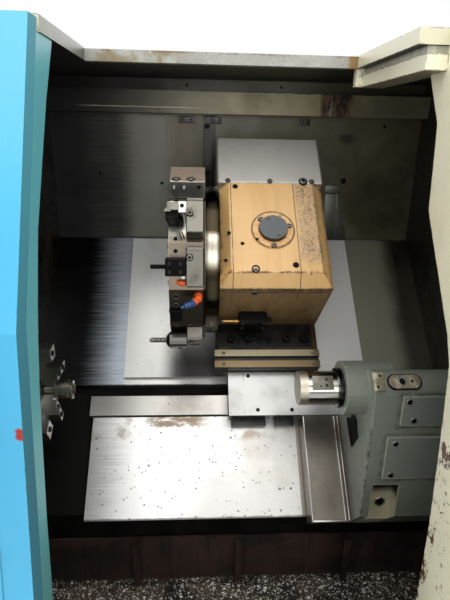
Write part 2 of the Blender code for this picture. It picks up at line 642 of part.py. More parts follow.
# Steps of a jaw as (X of the step, distance from the axis where it ends)
JAW_STEPS = ((-0.322, 0.034), (-0.3125, 0.052), (-0.303, 0.069), (-0.336, 0.081), (-0.322, 0.112))
JAW_INNER = 0.0213
WORK_RADIUS = 0.021
WORK_LEFT = -0.365
WORK_RIGHT = -0.285
WORK_CUT_WIDTH = 0.010
WORK_CUT_DEPTH = 0.012
JAW_DIRECTIONS = (95, 215, 335)


def make_headstock():
    seat = BED_LEVEL + GAP
    outline = [(HEADSTOCK_FRONT_U, seat), (HEADSTOCK_BACK_U, seat)] + arc(
        (0, 0), HEADSTOCK_NOSE_RADIUS, 0, 180, 12)
    stock = prism("headstock", slant_frame, CAST_IRON, outline, HEADSTOCK_LEFT, HEADSTOCK_RIGHT)
    bore = rod("headstock_bore", slant_frame, None, SPINDLE_RADIUS + SPINDLE_CLEARANCE,
               HEADSTOCK_LEFT - CUT_OVERRUN, HEADSTOCK_RIGHT + CUT_OVERRUN, segments=FINE_SEGMENTS)
    cut(stock, bore)


def make_spindle():
    nose_back = HEADSTOCK_RIGHT + GAP
    profile = [(SPINDLE_BORE, SPINDLE_NOSE - GAP), (SPINDLE_NOSE_RADIUS, SPINDLE_NOSE - GAP),
               (SPINDLE_NOSE_RADIUS, nose_back), (SPINDLE_RADIUS - SPINDLE_CLEARANCE, nose_back),
               (SPINDLE_RADIUS - SPINDLE_CLEARANCE, HEADSTOCK_LEFT - GAP),
               (SPINDLE_RADIUS / 2, HEADSTOCK_LEFT - GAP), (SPINDLE_RADIUS / 2, PULLEY_LEFT + PULLEY_WIDTH),
               (PULLEY_RADIUS, PULLEY_LEFT + PULLEY_WIDTH), (PULLEY_RADIUS, PULLEY_LEFT),
               (SPINDLE_RADIUS / 2, PULLEY_LEFT), (SPINDLE_RADIUS / 2, SPINDLE_REAR), (SPINDLE_BORE, SPINDLE_REAR)]
    turned("spindle_shaft", spindle_frame, STEEL, profile)


def make_motor():
    foot_top = BED_TOP + GAP
    motor = block("spindle_motor", spindle_frame, DARK_PAINT, (MOTOR_LEFT, MOTOR_RIGHT),
                  (MOTOR_Y - MOTOR_HALF, MOTOR_Y + MOTOR_HALF), (MOTOR_Z - MOTOR_HALF, MOTOR_Z + MOTOR_HALF),
                  MOTOR_HALF / 4)
    foot = block("motor_foot", spindle_frame, None,
                 (MOTOR_LEFT + MOTOR_HALF / 2, MOTOR_RIGHT - MOTOR_HALF / 2),
                 (MOTOR_Y + MOTOR_SHAFT_RADIUS, MOTOR_Y + MOTOR_HALF + MOTOR_SHAFT_RADIUS), (foot_top, MOTOR_Z))
    fuse(motor, foot)
    profile = [(0, MOTOR_LEFT - GAP), (MOTOR_SHAFT_RADIUS, MOTOR_LEFT - GAP),
               (MOTOR_SHAFT_RADIUS, PULLEY_LEFT + PULLEY_WIDTH), (MOTOR_PULLEY_RADIUS, PULLEY_LEFT + PULLEY_WIDTH),
               (MOTOR_PULLEY_RADIUS, PULLEY_LEFT), (0, PULLEY_LEFT)]
    turned("motor_pulley", frame("motor_axis", spindle_frame, (0, MOTOR_Y, MOTOR_Z)), CAST_IRON, profile)
    belt = prism("drive_belt", spindle_frame, RUBBER, belt_outline(BELT_THICKNESS), PULLEY_LEFT + BELT_THICKNESS / 2,
                 PULLEY_LEFT + PULLEY_WIDTH - BELT_THICKNESS / 2)
    inside = prism("belt_inside", spindle_frame, None, belt_outline(0), PULLEY_LEFT - CUT_OVERRUN,
                   PULLEY_LEFT + PULLEY_WIDTH + CUT_OVERRUN)
    cut(belt, inside)


def belt_outline(offset):
    """The tight outline round both pulleys, this far outside them."""
    span = math.hypot(MOTOR_Y, MOTOR_Z)
    heading = math.degrees(math.atan2(MOTOR_Z, MOTOR_Y))
    wrap = math.degrees(math.acos((PULLEY_RADIUS - MOTOR_PULLEY_RADIUS) / span))
    near = arc((0, 0), PULLEY_RADIUS + offset + 2 * GAP, heading + wrap, heading + 360 - wrap, SMALL_SEGMENTS)
    far = arc((MOTOR_Y, MOTOR_Z), MOTOR_PULLEY_RADIUS + offset + 2 * GAP, heading - wrap, heading + wrap, SMALL_SEGMENTS)
    return near + far


def make_chuck():
    face = CHUCK_FACE
    groove_far = face - (face - CHUCK_BACK) / 3
    profile = [(CHUCK_BORE, face), (CHUCK_RADIUS - CHUCK_GROOVE, face), (CHUCK_RADIUS, face - CHUCK_GROOVE),
               (CHUCK_RADIUS, groove_far), (CHUCK_RADIUS - CHUCK_GROOVE, groove_far - CHUCK_GROOVE),
               (CHUCK_RADIUS - CHUCK_GROOVE, groove_far - 2 * CHUCK_GROOVE), (CHUCK_RADIUS, groove_far - 3 * CHUCK_GROOVE),
               (CHUCK_RADIUS, CHUCK_BACK), (CHUCK_BORE, CHUCK_BACK)]
    chuck = turned("chuck_body", spindle_frame, STEEL, profile)
    for number, degrees in enumerate(JAW_DIRECTIONS, 1):
        # Each jaw frame has its Y along the jaw's travel, away from the spindle axis
        jaw_frame = frame(f"jaw_frame_{number}", spindle_frame, turn=math.radians(degrees))
        slot = block(f"jaw_slot_{number}", jaw_frame, None, (face - JAW_SLOT_DEPTH, face + CUT_OVERRUN),
                     (0, CHUCK_RADIUS + CUT_OVERRUN), (-JAW_WIDTH / 2 - GAP, JAW_WIDTH / 2 + GAP))
        slot_neck = block(f"jaw_slot_root_{number}", jaw_frame, None, (face - JAW_SLOT_DEPTH, face - JAW_SLOT_DEPTH / 2),
                          (0, CHUCK_RADIUS + CUT_OVERRUN), (-JAW_WIDTH * 3 / 4, JAW_WIDTH * 3 / 4))
        cut(chuck, slot, slot_neck)
        outline, start = [(JAW_ROOT_X, JAW_INNER)], JAW_INNER
        for x, end in JAW_STEPS:
            outline += [(x, start), (x, end)]
            start = end
        outline.append((JAW_ROOT_X, start))
        prism(f"chuck_jaw_{number}", jaw_frame, STEEL, outline, -JAW_WIDTH / 2, JAW_WIDTH / 2, axis=ALONG_Z)


def make_workpiece():
    bar = rod("workpiece", spindle_frame, STEEL, WORK_RADIUS, WORK_LEFT, WORK_RIGHT)
    for number, turn in enumerate((0, math.pi / 2), 1):
        slot_frame = frame(f"work_slot_frame_{number}", spindle_frame, turn=turn + SLANT / 2)
        slot = block(f"work_slot_{number}", slot_frame, None, (WORK_RIGHT - WORK_CUT_DEPTH, WORK_RIGHT + CUT_OVERRUN),
                     (-2 * WORK_RADIUS, 2 * WORK_RADIUS), (-WORK_CUT_WIDTH / 2, WORK_CUT_WIDTH / 2))
        cut(bar, slot)


# Carriage and cross slide
WAY_COVER_LEFT = -0.21
WAY_COVER_RIGHT = 0.50
WAY_COVER_BOTTOM_U = 0.112
WAY_COVER_TOP_U = 0.590
SLIDEWAY_LEFT = 0.065
SLIDEWAY_RIGHT = 0.33
SLIDEWAY_BOTTOM_U = 0.125
SLIDEWAY_TOP_U = 0.60
SADDLE_FOOT_LEVEL = BED_LEVEL + GAP
HOUSING_LEFT = 0.054
HOUSING_RIGHT = 0.342
HOUSING_BOTTOM_U = 0.237
HOUSING_TOP_U = 0.543
HOUSING_FRONT = 0.085
HOUSING_BEVEL = 0.030
HOUSING_SEAM = 0.004
FLANGE_BOTTOM_U = 0.160
FLANGE_TOP_U = 0.575
WIPER_BOTTOM_U = 0.110
WIPER_GROOVE = 0.012
WIPER_LEFT = 0.050
WIPER_RIGHT = 0.345
TOP_COVER_U = 0.703
TOP_COVER_BACK = -0.08
TOP_COVER_LIP = 0.003
CAP_X = 0.195
CAP_U = 0.392
CAP_RING_RADIUS = 0.057
CAP_RADIUS = 0.036
CAP_RING_HEIGHT = 0.003
CAP_HEIGHT = 0.014


def make_carriage():
    plate_low = FIXED_COVER_LEVEL + 2 * STACK_STEP - COVER_SHEET
    plate_top = plate_low + COVER_SHEET
    slide_low = plate_top + GAP
    cover = block("way_cover", slant_frame, STAINLESS, (WAY_COVER_LEFT, WAY_COVER_RIGHT),
                  (WAY_COVER_BOTTOM_U, WAY_COVER_TOP_U), (plate_low, plate_top))
    window = block("way_cover_window", slant_frame, None, (SADDLE_LEFT - GAP, SADDLE_RIGHT + GAP),
                   (SADDLE_BOTTOM_U - GAP, SADDLE_TOP_U + GAP), (plate_low - CUT_OVERRUN, plate_top + CUT_OVERRUN))
    cut(cover, window)
    saddle = block("saddle", slant_frame, CAST_IRON, (SLIDEWAY_LEFT, SLIDEWAY_RIGHT),
                   (SLIDEWAY_BOTTOM_U, SLIDEWAY_TOP_U), (slide_low, SLIDEWAY_LEVEL))
    foot = block("saddle_foot", slant_frame, None, (SADDLE_LEFT, SADDLE_RIGHT), (SADDLE_BOTTOM_U, SADDLE_TOP_U),
                 (SADDLE_FOOT_LEVEL, (slide_low + SLIDEWAY_LEVEL) / 2))
    fuse(saddle, foot)


TELESCOPE_LEFT = 0.30
TELESCOPE_RIGHT = 0.66


def make_telescopic_cover():
    foot = FIXED_COVER_LEVEL + GAP
    top = FIXED_COVER_LEVEL + 2 * STACK_STEP - COVER_SHEET - GAP
    low_u, high_u = WAY_COVER_BOTTOM_U, WAY_COVER_TOP_U
    outline = [(low_u, foot), (low_u + COVER_SHEET, foot), (low_u + COVER_SHEET, top - COVER_SHEET),
               (high_u - COVER_SHEET, top - COVER_SHEET), (high_u - COVER_SHEET, foot), (high_u, foot),
               (high_u, top), (low_u, top)]
    prism("way_cover_right", slant_frame, STAINLESS, outline, TELESCOPE_LEFT, TELESCOPE_RIGHT)


def make_cross_slide():
    low = SLIDEWAY_LEVEL + GAP
    slide = block("cross_slide", slant_frame, CAST_IRON, (HOUSING_LEFT, HOUSING_RIGHT),
                  (FLANGE_BOTTOM_U, FLANGE_TOP_U), (low, CROSS_SLIDE_LEVEL), COVER_BEVEL)
    wiper_low, wiper_high = WIPER_BOTTOM_U, FLANGE_BOTTOM_U - GAP
    middle = (wiper_low + wiper_high) / 2
    outline = [(wiper_low, low), (wiper_high, low), (wiper_high, CROSS_SLIDE_LEVEL), (middle + WIPER_GROOVE / 2, CROSS_SLIDE_LEVEL),
               (middle + WIPER_GROOVE / 2, CROSS_SLIDE_LEVEL - WIPER_GROOVE),
               (middle - WIPER_GROOVE / 2, CROSS_SLIDE_LEVEL - WIPER_GROOVE),
               (middle - WIPER_GROOVE / 2, CROSS_SLIDE_LEVEL - WIPER_GROOVE / 3), (wiper_low, CROSS_SLIDE_LEVEL - WIPER_GROOVE / 3)]
    prism("slide_wiper", slant_frame, STEEL, outline, WIPER_LEFT, WIPER_RIGHT)
    return slide


def make_housing():
    seat = CROSS_SLIDE_LEVEL + GAP
    bevel = HOUSING_BEVEL
    outline = [(HOUSING_BOTTOM_U, seat), (HOUSING_TOP_U, seat), (HOUSING_TOP_U, HOUSING_FRONT),
               (HOUSING_BOTTOM_U + bevel, HOUSING_FRONT), (HOUSING_BOTTOM_U, HOUSING_FRONT - bevel)]
    housing = prism("turret_housing", slant_frame, SAND_PAINT, outline, HOUSING_LEFT, HOUSING_RIGHT)
    chamfer_reach = 2 * bevel
    for side, x, sign in (("left", HOUSING_LEFT, 1), ("right", HOUSING_RIGHT, -1)):
        corner = [(x + sign * bevel, HOUSING_FRONT + CUT_OVERRUN), (x - sign * CUT_OVERRUN, HOUSING_FRONT + CUT_OVERRUN),
                  (x - sign * CUT_OVERRUN, HOUSING_FRONT - bevel), (x, HOUSING_FRONT - bevel), (x + sign * bevel, HOUSING_FRONT)]
        # The outline is drawn in X and the stand-off, and runs along the slope
        chamfer = prism(f"housing_chamfer_{side}", slant_frame, None, [(stand, along) for along, stand in corner],
                        HOUSING_BOTTOM_U - chamfer_reach, HOUSING_TOP_U + chamfer_reach, axis=ALONG_Y)
        cut(housing, chamfer)
    seam_x = HOUSING_RIGHT - bevel - HOUSING_BEVEL
    seam = block("housing_seam", slant_frame, None, (seam_x, seam_x + HOUSING_SEAM / 2),
                 (HOUSING_BOTTOM_U - CUT_OVERRUN, HOUSING_TOP_U + CUT_OVERRUN),
                 (HOUSING_FRONT - HOUSING_SEAM, HOUSING_FRONT + CUT_OVERRUN))
    cut(housing, seam)


def make_housing_details():
    seat = HOUSING_FRONT + GAP
    ring = [(0, seat + CAP_HEIGHT), (CAP_RADIUS, seat + CAP_HEIGHT), (CAP_RADIUS, seat + CAP_RING_HEIGHT),
            (CAP_RING_RADIUS, seat + CAP_RING_HEIGHT), (CAP_RING_RADIUS, seat), (0, seat)]
    turned("housing_cap", slant_frame, STEEL, ring, (CAP_X, CAP_U), ALONG_Z, ROUND_SEGMENTS)
    low_u = HOUSING_TOP_U + GAP
    block("housing_top_cover", slant_frame, GALVANISED, (HOUSING_LEFT, HOUSING_RIGHT), (low_u, TOP_COVER_U),
          (TOP_COVER_BACK, HOUSING_FRONT + TOP_COVER_LIP), COVER_BEVEL)


# Coolant switch box under the housing's lower left corner
SWITCH_LEFT = 0.115
SWITCH_RIGHT = 0.190
SWITCH_LOW_LEVEL = -0.125
SWITCH_HIGH_LEVEL = -0.075
SWITCH_DEPTH = 0.030


def make_switch_box():
    seat_u = HOUSING_BOTTOM_U - GAP
    block("switch_box", slant_frame, BLACK_STEEL, (SWITCH_LEFT, SWITCH_RIGHT), (seat_u - SWITCH_DEPTH, seat_u),
          (SWITCH_LOW_LEVEL, SWITCH_HIGH_LEVEL), PLATE_BEVEL)


# Servo motor that drives the carriage, at the tailstock end of the bed
SERVO_LEFT = 0.86
SERVO_RIGHT = 1.06
SERVO_HALF = 0.060
SERVO_U = 0.38


def make_servo():
    servo = block("carriage_servo", slant_frame, DARK_PAINT, (SERVO_LEFT, SERVO_RIGHT),
                  (SERVO_U - SERVO_HALF, SERVO_U + SERVO_HALF), (BED_LEVEL + GAP, BED_LEVEL + 2 * SERVO_HALF),
                  COVER_BEVEL)
    flange = block("servo_bracket", slant_frame, None, (SERVO_LEFT - SERVO_HALF / 3, SERVO_LEFT + SERVO_HALF / 3),
                   (SERVO_U - SERVO_HALF * 3 / 2, SERVO_U + SERVO_HALF * 3 / 2),
                   (BED_LEVEL + GAP, BED_LEVEL + 2 * SERVO_HALF + SERVO_HALF / 4))
    fuse(servo, flange)


# Turret
DRUM_LEFT = -0.064
DRUM_RIGHT = 0.021
DRUM_FLAT = 0.200
DRUM_BORE_FACE = 0.010
RIM_RADIUS = 0.193
RIM_RIGHT = 0.0535
HUB_RADIUS = 0.085
HUB_DEPTH = 0.010
SHANK_SLOT_WIDTH = 0.026
SHANK_SLOT_DEPTH = 0.030
SHANK_SLOT_RIGHT = -0.030
BLOCK_HALF_LENGTH = 0.040
BLOCK_HEIGHT = 0.044
BLOCK_RIGHT = 0.019
PLATE_LEFT = -0.024
PLATE_RIGHT = 0.015
PLATE_HALF_LENGTH = 0.044
PLATE_HEIGHT = 0.030
TOOL_HALF = 0.0125
TOOL_REACH = 0.040
TOOL_HEAD_LEFT = -0.070
HOLDER_RADIUS = 0.021
HOLDER_LEFT = -0.075
HOLDER_TAPER_LEFT = -0.066
HOLDER_RIGHT = PLATE_LEFT - 0.0005
HOLDER_LEVEL = 0.0215
DRILL_RADIUS = 0.006
DRILL_TIP = -0.118
DRILL_TIP_LENGTH = 0.004
NOZZLE_RADIUS = 0.0065
NOZZLE_ROUTE = ((0.003, 0.036, 0), (0.003, 0.036, 0.012), (-0.009, 0.033, 0.024), (-0.036, 0.026, 0.032))
BAR_HOLDER_HALF = 0.020
BAR_HOLDER_HEIGHT = 0.036
BAR_HOLDER_LEFT = -0.070
BAR_RADIUS = 0.005
BAR_TIP = -0.103
EMPTY_STATION = 60
TURNING_STATION = 90
BORING_STATION = 120
NOZZLE_STATION = 150
DRILL_STATION = 180


def station_frame(name, degrees):
    """A frame with its Z along the station's radius, counted from straight up the slope."""
    return frame(name, turret_frame, turn=math.radians(degrees + TURRET_PHASE - 90))


def make_drum():
    step = math.pi / TURRET_STATIONS
    drum = rod("turret_drum", turret_frame, STEEL, DRUM_FLAT / math.cos(step), DRUM_LEFT, DRUM_RIGHT,
               segments=TURRET_STATIONS, turn=step + math.radians(TURRET_PHASE))
    rim = rod("drum_rim", turret_frame, None, RIM_RADIUS, DRUM_RIGHT - DRUM_BORE_FACE, RIM_RIGHT, segments=FINE_SEGMENTS)
    recess = rod("drum_recess", turret_frame, None, HUB_RADIUS, DRUM_LEFT - CUT_OVERRUN, DRUM_LEFT + HUB_DEPTH,
                 segments=ROUND_SEGMENTS)
    fuse(drum, rim)
    cut(drum, recess)
    slot = block("shank_slot", station_frame("slot_frame", TURNING_STATION), None,
                 (DRUM_LEFT - CUT_OVERRUN, SHANK_SLOT_RIGHT), (-SHANK_SLOT_WIDTH / 2, SHANK_SLOT_WIDTH / 2),
                 (DRUM_FLAT - SHANK_SLOT_DEPTH, DRUM_FLAT + SHANK_SLOT_DEPTH))
    cut(drum, slot)


def make_tooling():
    seat = DRUM_FLAT + GAP
    empty = station_frame("empty_station", EMPTY_STATION)
    block("tool_block", empty, STEEL, (DRUM_LEFT, BLOCK_RIGHT), (-BLOCK_HALF_LENGTH, BLOCK_HALF_LENGTH),
          (seat, seat + BLOCK_HEIGHT), PLATE_BEVEL)
    turning = station_frame("turning_station", TURNING_STATION)
    boring = station_frame("boring_station", BORING_STATION)
    drilling = station_frame("drill_station", DRILL_STATION)
    for number, carrier in enumerate((turning, boring, drilling), 1):
        block(f"clamp_plate_{number}", carrier, STEEL, (PLATE_LEFT, PLATE_RIGHT), (-PLATE_HALF_LENGTH, PLATE_HALF_LENGTH),
              (seat, seat + PLATE_HEIGHT), PLATE_BEVEL)
    make_turning_tool(turning, seat)
    make_boring_tool(boring, seat)
    make_drill(drilling, seat)
    make_nozzle(station_frame("nozzle_station", NOZZLE_STATION), seat)


def make_turning_tool(carrier, seat):
    """A square shank in the slot, with a head that stands out past the turret face."""
    half = TOOL_HALF - GAP
    shank_floor = seat - SHANK_SLOT_DEPTH
    outline = [(SHANK_SLOT_RIGHT - GAP, shank_floor), (SHANK_SLOT_RIGHT - GAP, seat + TOOL_HALF),
               (SHANK_SLOT_RIGHT - TOOL_HALF, seat + TOOL_REACH), (TOOL_HEAD_LEFT, seat + TOOL_REACH),
               (TOOL_HEAD_LEFT, seat + TOOL_REACH - TOOL_HALF), (DRUM_LEFT, seat), (DRUM_LEFT, shank_floor)]
    # The outline is drawn in X and the radius, and runs across the slot
    prism("turning_tool", carrier, BLACK_STEEL, [(radius, x) for x, radius in outline], -half, half, axis=ALONG_Y)


def make_boring_tool(carrier, seat):
    """A square holder that grips a thin bar lying across the turret face."""
    half = BAR_HOLDER_HALF
    holder = block("boring_holder", carrier, BLACK_STEEL, (BAR_HOLDER_LEFT, PLATE_LEFT - GAP), (-half, half),
                   (seat, seat + BAR_HOLDER_HEIGHT), PLATE_BEVEL)
    level = seat + BAR_HOLDER_HEIGHT / 2
    bar = rod("boring_bar", frame("boring_axis", carrier, (0, 0, level)), None, BAR_RADIUS, BAR_TIP,
              (BAR_HOLDER_LEFT + PLATE_LEFT) / 2, segments=SMALL_SEGMENTS)
    fuse(holder, bar)


def make_drill(carrier, seat):
    level = seat + HOLDER_LEVEL
    profile = [(0, HOLDER_RIGHT), (HOLDER_RADIUS, HOLDER_RIGHT), (HOLDER_RADIUS, HOLDER_TAPER_LEFT),
               (HOLDER_RADIUS / 2, HOLDER_LEFT), (DRILL_RADIUS, HOLDER_LEFT), (DRILL_RADIUS, DRILL_TIP + DRILL_TIP_LENGTH),
               (0, DRILL_TIP)]
    axis = frame("drill_axis", carrier, (0, 0, level))
    turned("drill_holder", axis, STEEL, profile, segments=SMALL_SEGMENTS)


def make_nozzle(carrier, seat):
    """A coolant nozzle that stands up from its station and bends over the turret face."""
    bent_tube("coolant_nozzle", carrier, ORANGE_PLASTIC,
              [(x, along, seat + GAP + level) for x, along, level in NOZZLE_ROUTE], NOZZLE_RADIUS)


# Tailstock
BODY_LEFT = 0.393
BODY_RIGHT = 0.700
BODY_TOE_Z = -0.297
BODY_FRONT_Y = -0.095
BODY_ROUND_Y = -0.055
BODY_ROUND_Z = 0.030
BARREL_RADIUS = 0.064
BARREL_LEFT = 0.342
BASE_PLATE_TOP_U = 0.108
BASE_PLATE_SPLIT_U = -0.014
BASE_PLATE_BOTTOM_U = -0.285
BASE_PLATE_LEFT = 0.089
TROUGH_LEFT = 0.290
BODY_BEVEL = 0.004
COVER_PLATE_RAISE = 0.004
UPPER_PLATE_LEFT = 0.457
UPPER_PLATE_LOW_Z = -0.044
UPPER_PLATE_HIGH_Z = 0.029
LOWER_PLATE_LEFT = 0.433
LOWER_PLATE_LOW_Z = -0.186
LOWER_PLATE_HIGH_Z = -0.075
POCKET_LEFT = 0.414
POCKET_RIGHT = 0.478
POCKET_TOP_Z = -0.206
POCKET_DEPTH = 0.035
SIDE_SLOT_DEPTH = 0.012
SIDE_SLOT_LOW_Z = -0.150
SIDE_SLOT_HIGH_Z = -0.085
SIDE_SLOT_FRONT_Y = 0.005
SIDE_SLOT_BACK_Y = 0.045
PLATE_RECESS = 0.015
PLATE_LEG_WIDTH = 0.028
PLATE_LEG_PLACES = (0.092, 0.205)
QUILL_LEFT = 0.240
QUILL_RING_LEFT = 0.330
QUILL_RING_RADIUS = 0.047
QUILL_CLEARANCE = 0.0004
QUILL_DEPTH = 0.20
QUILL_TRAVEL = 0.10


def make_tailstock():
    seat = FIXED_COVER_LEVEL + GAP
    rest_y, rest_z = slant_point(BASE_PLATE_BOTTOM_U, seat)
    top = arc((BODY_ROUND_Y, BODY_ROUND_Z), BODY_ROUND_Y - BODY_FRONT_Y, 180, 45, 12)
    heel_y, heel_z = slant_point(BARREL_RADIUS, seat)
    outline = [(rest_y, rest_z), (BODY_FRONT_Y, BODY_TOE_Z)] + top + [(heel_y, heel_z)]
    body = prism("tailstock_body", spindle_frame, GREY_GREEN_PAINT, outline, BODY_LEFT, BODY_RIGHT, round_outline=True)
    barrel = rod("tailstock_barrel", spindle_frame, None, BARREL_RADIUS, BARREL_LEFT, BODY_LEFT + BARREL_RADIUS)
    fuse(body, barrel)
    for name, left, low, high in (("upper", UPPER_PLATE_LEFT, UPPER_PLATE_LOW_Z, UPPER_PLATE_HIGH_Z),
                                  ("lower", LOWER_PLATE_LEFT, LOWER_PLATE_LOW_Z, LOWER_PLATE_HIGH_Z)):
        plate = block(f"{name}_plate", spindle_frame, None, (left, BODY_RIGHT - BODY_BEVEL),
                      (BODY_FRONT_Y - COVER_PLATE_RAISE, BODY_FRONT_Y + COVER_PLATE_RAISE), (low, high))
        fuse(body, plate)
    pocket = block("clamp_pocket", spindle_frame, None, (POCKET_LEFT, POCKET_RIGHT),
                   (BODY_FRONT_Y - CUT_OVERRUN, BODY_FRONT_Y + POCKET_DEPTH), (BODY_TOE_Z - POCKET_DEPTH, POCKET_TOP_Z))
    bore = rod("quill_bore", spindle_frame, None, QUILL_RADIUS + QUILL_CLEARANCE, BARREL_LEFT - CUT_OVERRUN,
               BARREL_LEFT + QUILL_DEPTH, segments=FINE_SEGMENTS)
    slot = block("side_slot", spindle_frame, None, (BODY_LEFT - CUT_OVERRUN, BODY_LEFT + SIDE_SLOT_DEPTH),
                 (SIDE_SLOT_FRONT_Y, SIDE_SLOT_BACK_Y), (SIDE_SLOT_LOW_Z, SIDE_SLOT_HIGH_Z))
    cut(body, pocket, bore, slot)


def slant_point(u, level):
    """Y and Z in the spindle frame of a point of the slant frame."""
    return (u * math.cos(SLANT) - level * math.sin(SLANT), u * math.sin(SLANT) + level * math.cos(SLANT))


def make_tailstock_base():
    """The base plate on its legs, with the lower trough cover beside the body."""
    seat = FIXED_COVER_LEVEL + GAP
    right = BODY_LEFT - GAP
    under = TAILSTOCK_BASE_LEVEL - PLATE_RECESS
    low_u, high_u = BASE_PLATE_SPLIT_U, BASE_PLATE_TOP_U
    outline = [(low_u + PLATE_RECESS, seat), (high_u, seat), (high_u, TAILSTOCK_BASE_LEVEL),
               (low_u, TAILSTOCK_BASE_LEVEL), (low_u, under), (low_u + PLATE_RECESS, under)]
    plate = prism("tailstock_base", slant_frame, STAINLESS, outline, BASE_PLATE_LEFT, right)
    for number, left in enumerate(PLATE_LEG_PLACES, 1):
        leg = block(f"plate_leg_{number}", slant_frame, None, (left, left + PLATE_LEG_WIDTH),
                    (low_u + CUT_OVERRUN, low_u + 2 * PLATE_RECESS), (seat, under + CUT_OVERRUN))
        fuse(plate, leg)
    trough = block("base_trough", slant_frame, None, (TROUGH_LEFT, right),
                   (BASE_PLATE_BOTTOM_U, BASE_PLATE_SPLIT_U + BODY_BEVEL), (seat, TAILSTOCK_BASE_LEVEL - BODY_BEVEL))
    fuse(plate, trough)


def make_quill():
    right = BARREL_LEFT + QUILL_DEPTH - GAP
    ring_right = BARREL_LEFT - GAP
    profile = [(0, right), (QUILL_RADIUS - QUILL_CLEARANCE, right), (QUILL_RADIUS - QUILL_CLEARANCE, ring_right),
               (QUILL_RING_RADIUS, ring_right), (QUILL_RING_RADIUS, QUILL_RING_LEFT), (QUILL_RADIUS, QUILL_RING_LEFT),
               (QUILL_RADIUS, QUILL_LEFT), (0, QUILL_LEFT)]
    turned("quill", spindle_frame, STEEL, profile)


# Operator panel on the upper right front cover
DESK_LEFT = 0.62
DESK_RIGHT = 1.14
DESK_LOW = 0.03
DESK_HIGH = 0.47
DESK_THICKNESS = 0.055
DESK_BEVEL = 0.008
SCREEN_LEFT = 0.66
SCREEN_RIGHT = 0.90
SCREEN_LOW = 0.25
SCREEN_HIGH = 0.43
SCREEN_DEPTH = 0.006
ESTOP_X = 1.07
ESTOP_U = 0.09
ESTOP_RADIUS = 0.022
ESTOP_STEM = 0.011
ESTOP_HEIGHT = 0.030
ESTOP_TRAVEL = 0.006
KNOB_X = 0.95
KNOB_U = 0.09
KNOB_RADIUS = 0.020
KNOB_HEIGHT = 0.020
WHEEL_X = 1.03
WHEEL_U = 0.34
WHEEL_RADIUS = 0.045
WHEEL_HEIGHT = 0.022
CRANK_RADIUS = 0.008
CRANK_HEIGHT = 0.040


def make_operator_panel():
    low = GAP
    high = low + DESK_THICKNESS
    desk = block("operator_panel", panel_frame, CREAM_PAINT, (DESK_LEFT, DESK_RIGHT), (DESK_LOW, DESK_HIGH),
                 (low, high), DESK_BEVEL)
    screen = block("screen_recess", panel_frame, None, (SCREEN_LEFT, SCREEN_RIGHT), (SCREEN_LOW, SCREEN_HIGH),
                   (high - SCREEN_DEPTH, high + CUT_OVERRUN))
    stem_hole = rod("estop_hole", panel_frame, None, ESTOP_STEM + SPINDLE_CLEARANCE, high - 2 * ESTOP_TRAVEL,
                    high + CUT_OVERRUN, (ESTOP_X, ESTOP_U), ALONG_Z, SMALL_SEGMENTS)
    cut(desk, screen, stem_hole)
    top = high + ESTOP_HEIGHT
    head_low = high + ESTOP_TRAVEL + 2 * GAP
    button = [(0, top), (ESTOP_RADIUS / 2, top), (ESTOP_RADIUS, top - ESTOP_TRAVEL), (ESTOP_RADIUS, head_low),
              (ESTOP_STEM, head_low), (ESTOP_STEM, high - ESTOP_TRAVEL + GAP), (0, high - ESTOP_TRAVEL + GAP)]
    turned("estop_button", panel_frame, RED_PLASTIC, button, (ESTOP_X, ESTOP_U), ALONG_Z, SMALL_SEGMENTS)
    knob_low = high + GAP
    knob = [(0, knob_low + KNOB_HEIGHT), (KNOB_RADIUS * 3 / 4, knob_low + KNOB_HEIGHT), (KNOB_RADIUS, knob_low), (0, knob_low)]
    turned("override_knob", panel_frame, BLACK_STEEL, knob, (KNOB_X, KNOB_U), ALONG_Z, SMALL_SEGMENTS)
    make_handwheel(knob_low)


def make_handwheel(low):
    axis = frame("handwheel_axis", panel_frame, (WHEEL_X, WHEEL_U, 0))
    wheel = rod("handwheel", axis, STEEL, WHEEL_RADIUS, low, low + WHEEL_HEIGHT, (0, 0), ALONG_Z)
    crank = rod("handwheel_crank", axis, None, CRANK_RADIUS, low + WHEEL_HEIGHT / 2, low + CRANK_HEIGHT,
                (WHEEL_RADIUS * 2 / 3, 0), ALONG_Z, SMALL_SEGMENTS)
    fuse(wheel, crank)


make_base()
make_bed()
make_front_covers()
make_jambs()
make_roof()
make_side_covers()
make_cabinet()
make_door()
make_bulkheads()
make_rear_wall()
make_fixed_covers()
make_chip_pan()
make_headstock()
make_spindle()
make_motor()
make_chuck()
make_workpiece()
make_carriage()
make_telescopic_cover()
make_cross_slide()
make_housing()
make_housing_details()
make_switch_box()
make_servo()
make_drum()
make_tooling()
make_tailstock()
make_tailstock_base()
make_quill()
make_operator_panel()
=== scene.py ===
"""Looks of the CNC turning lathe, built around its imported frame."""

import json
import math

import bmesh
import bpy
from mathutils import Matrix, Vector


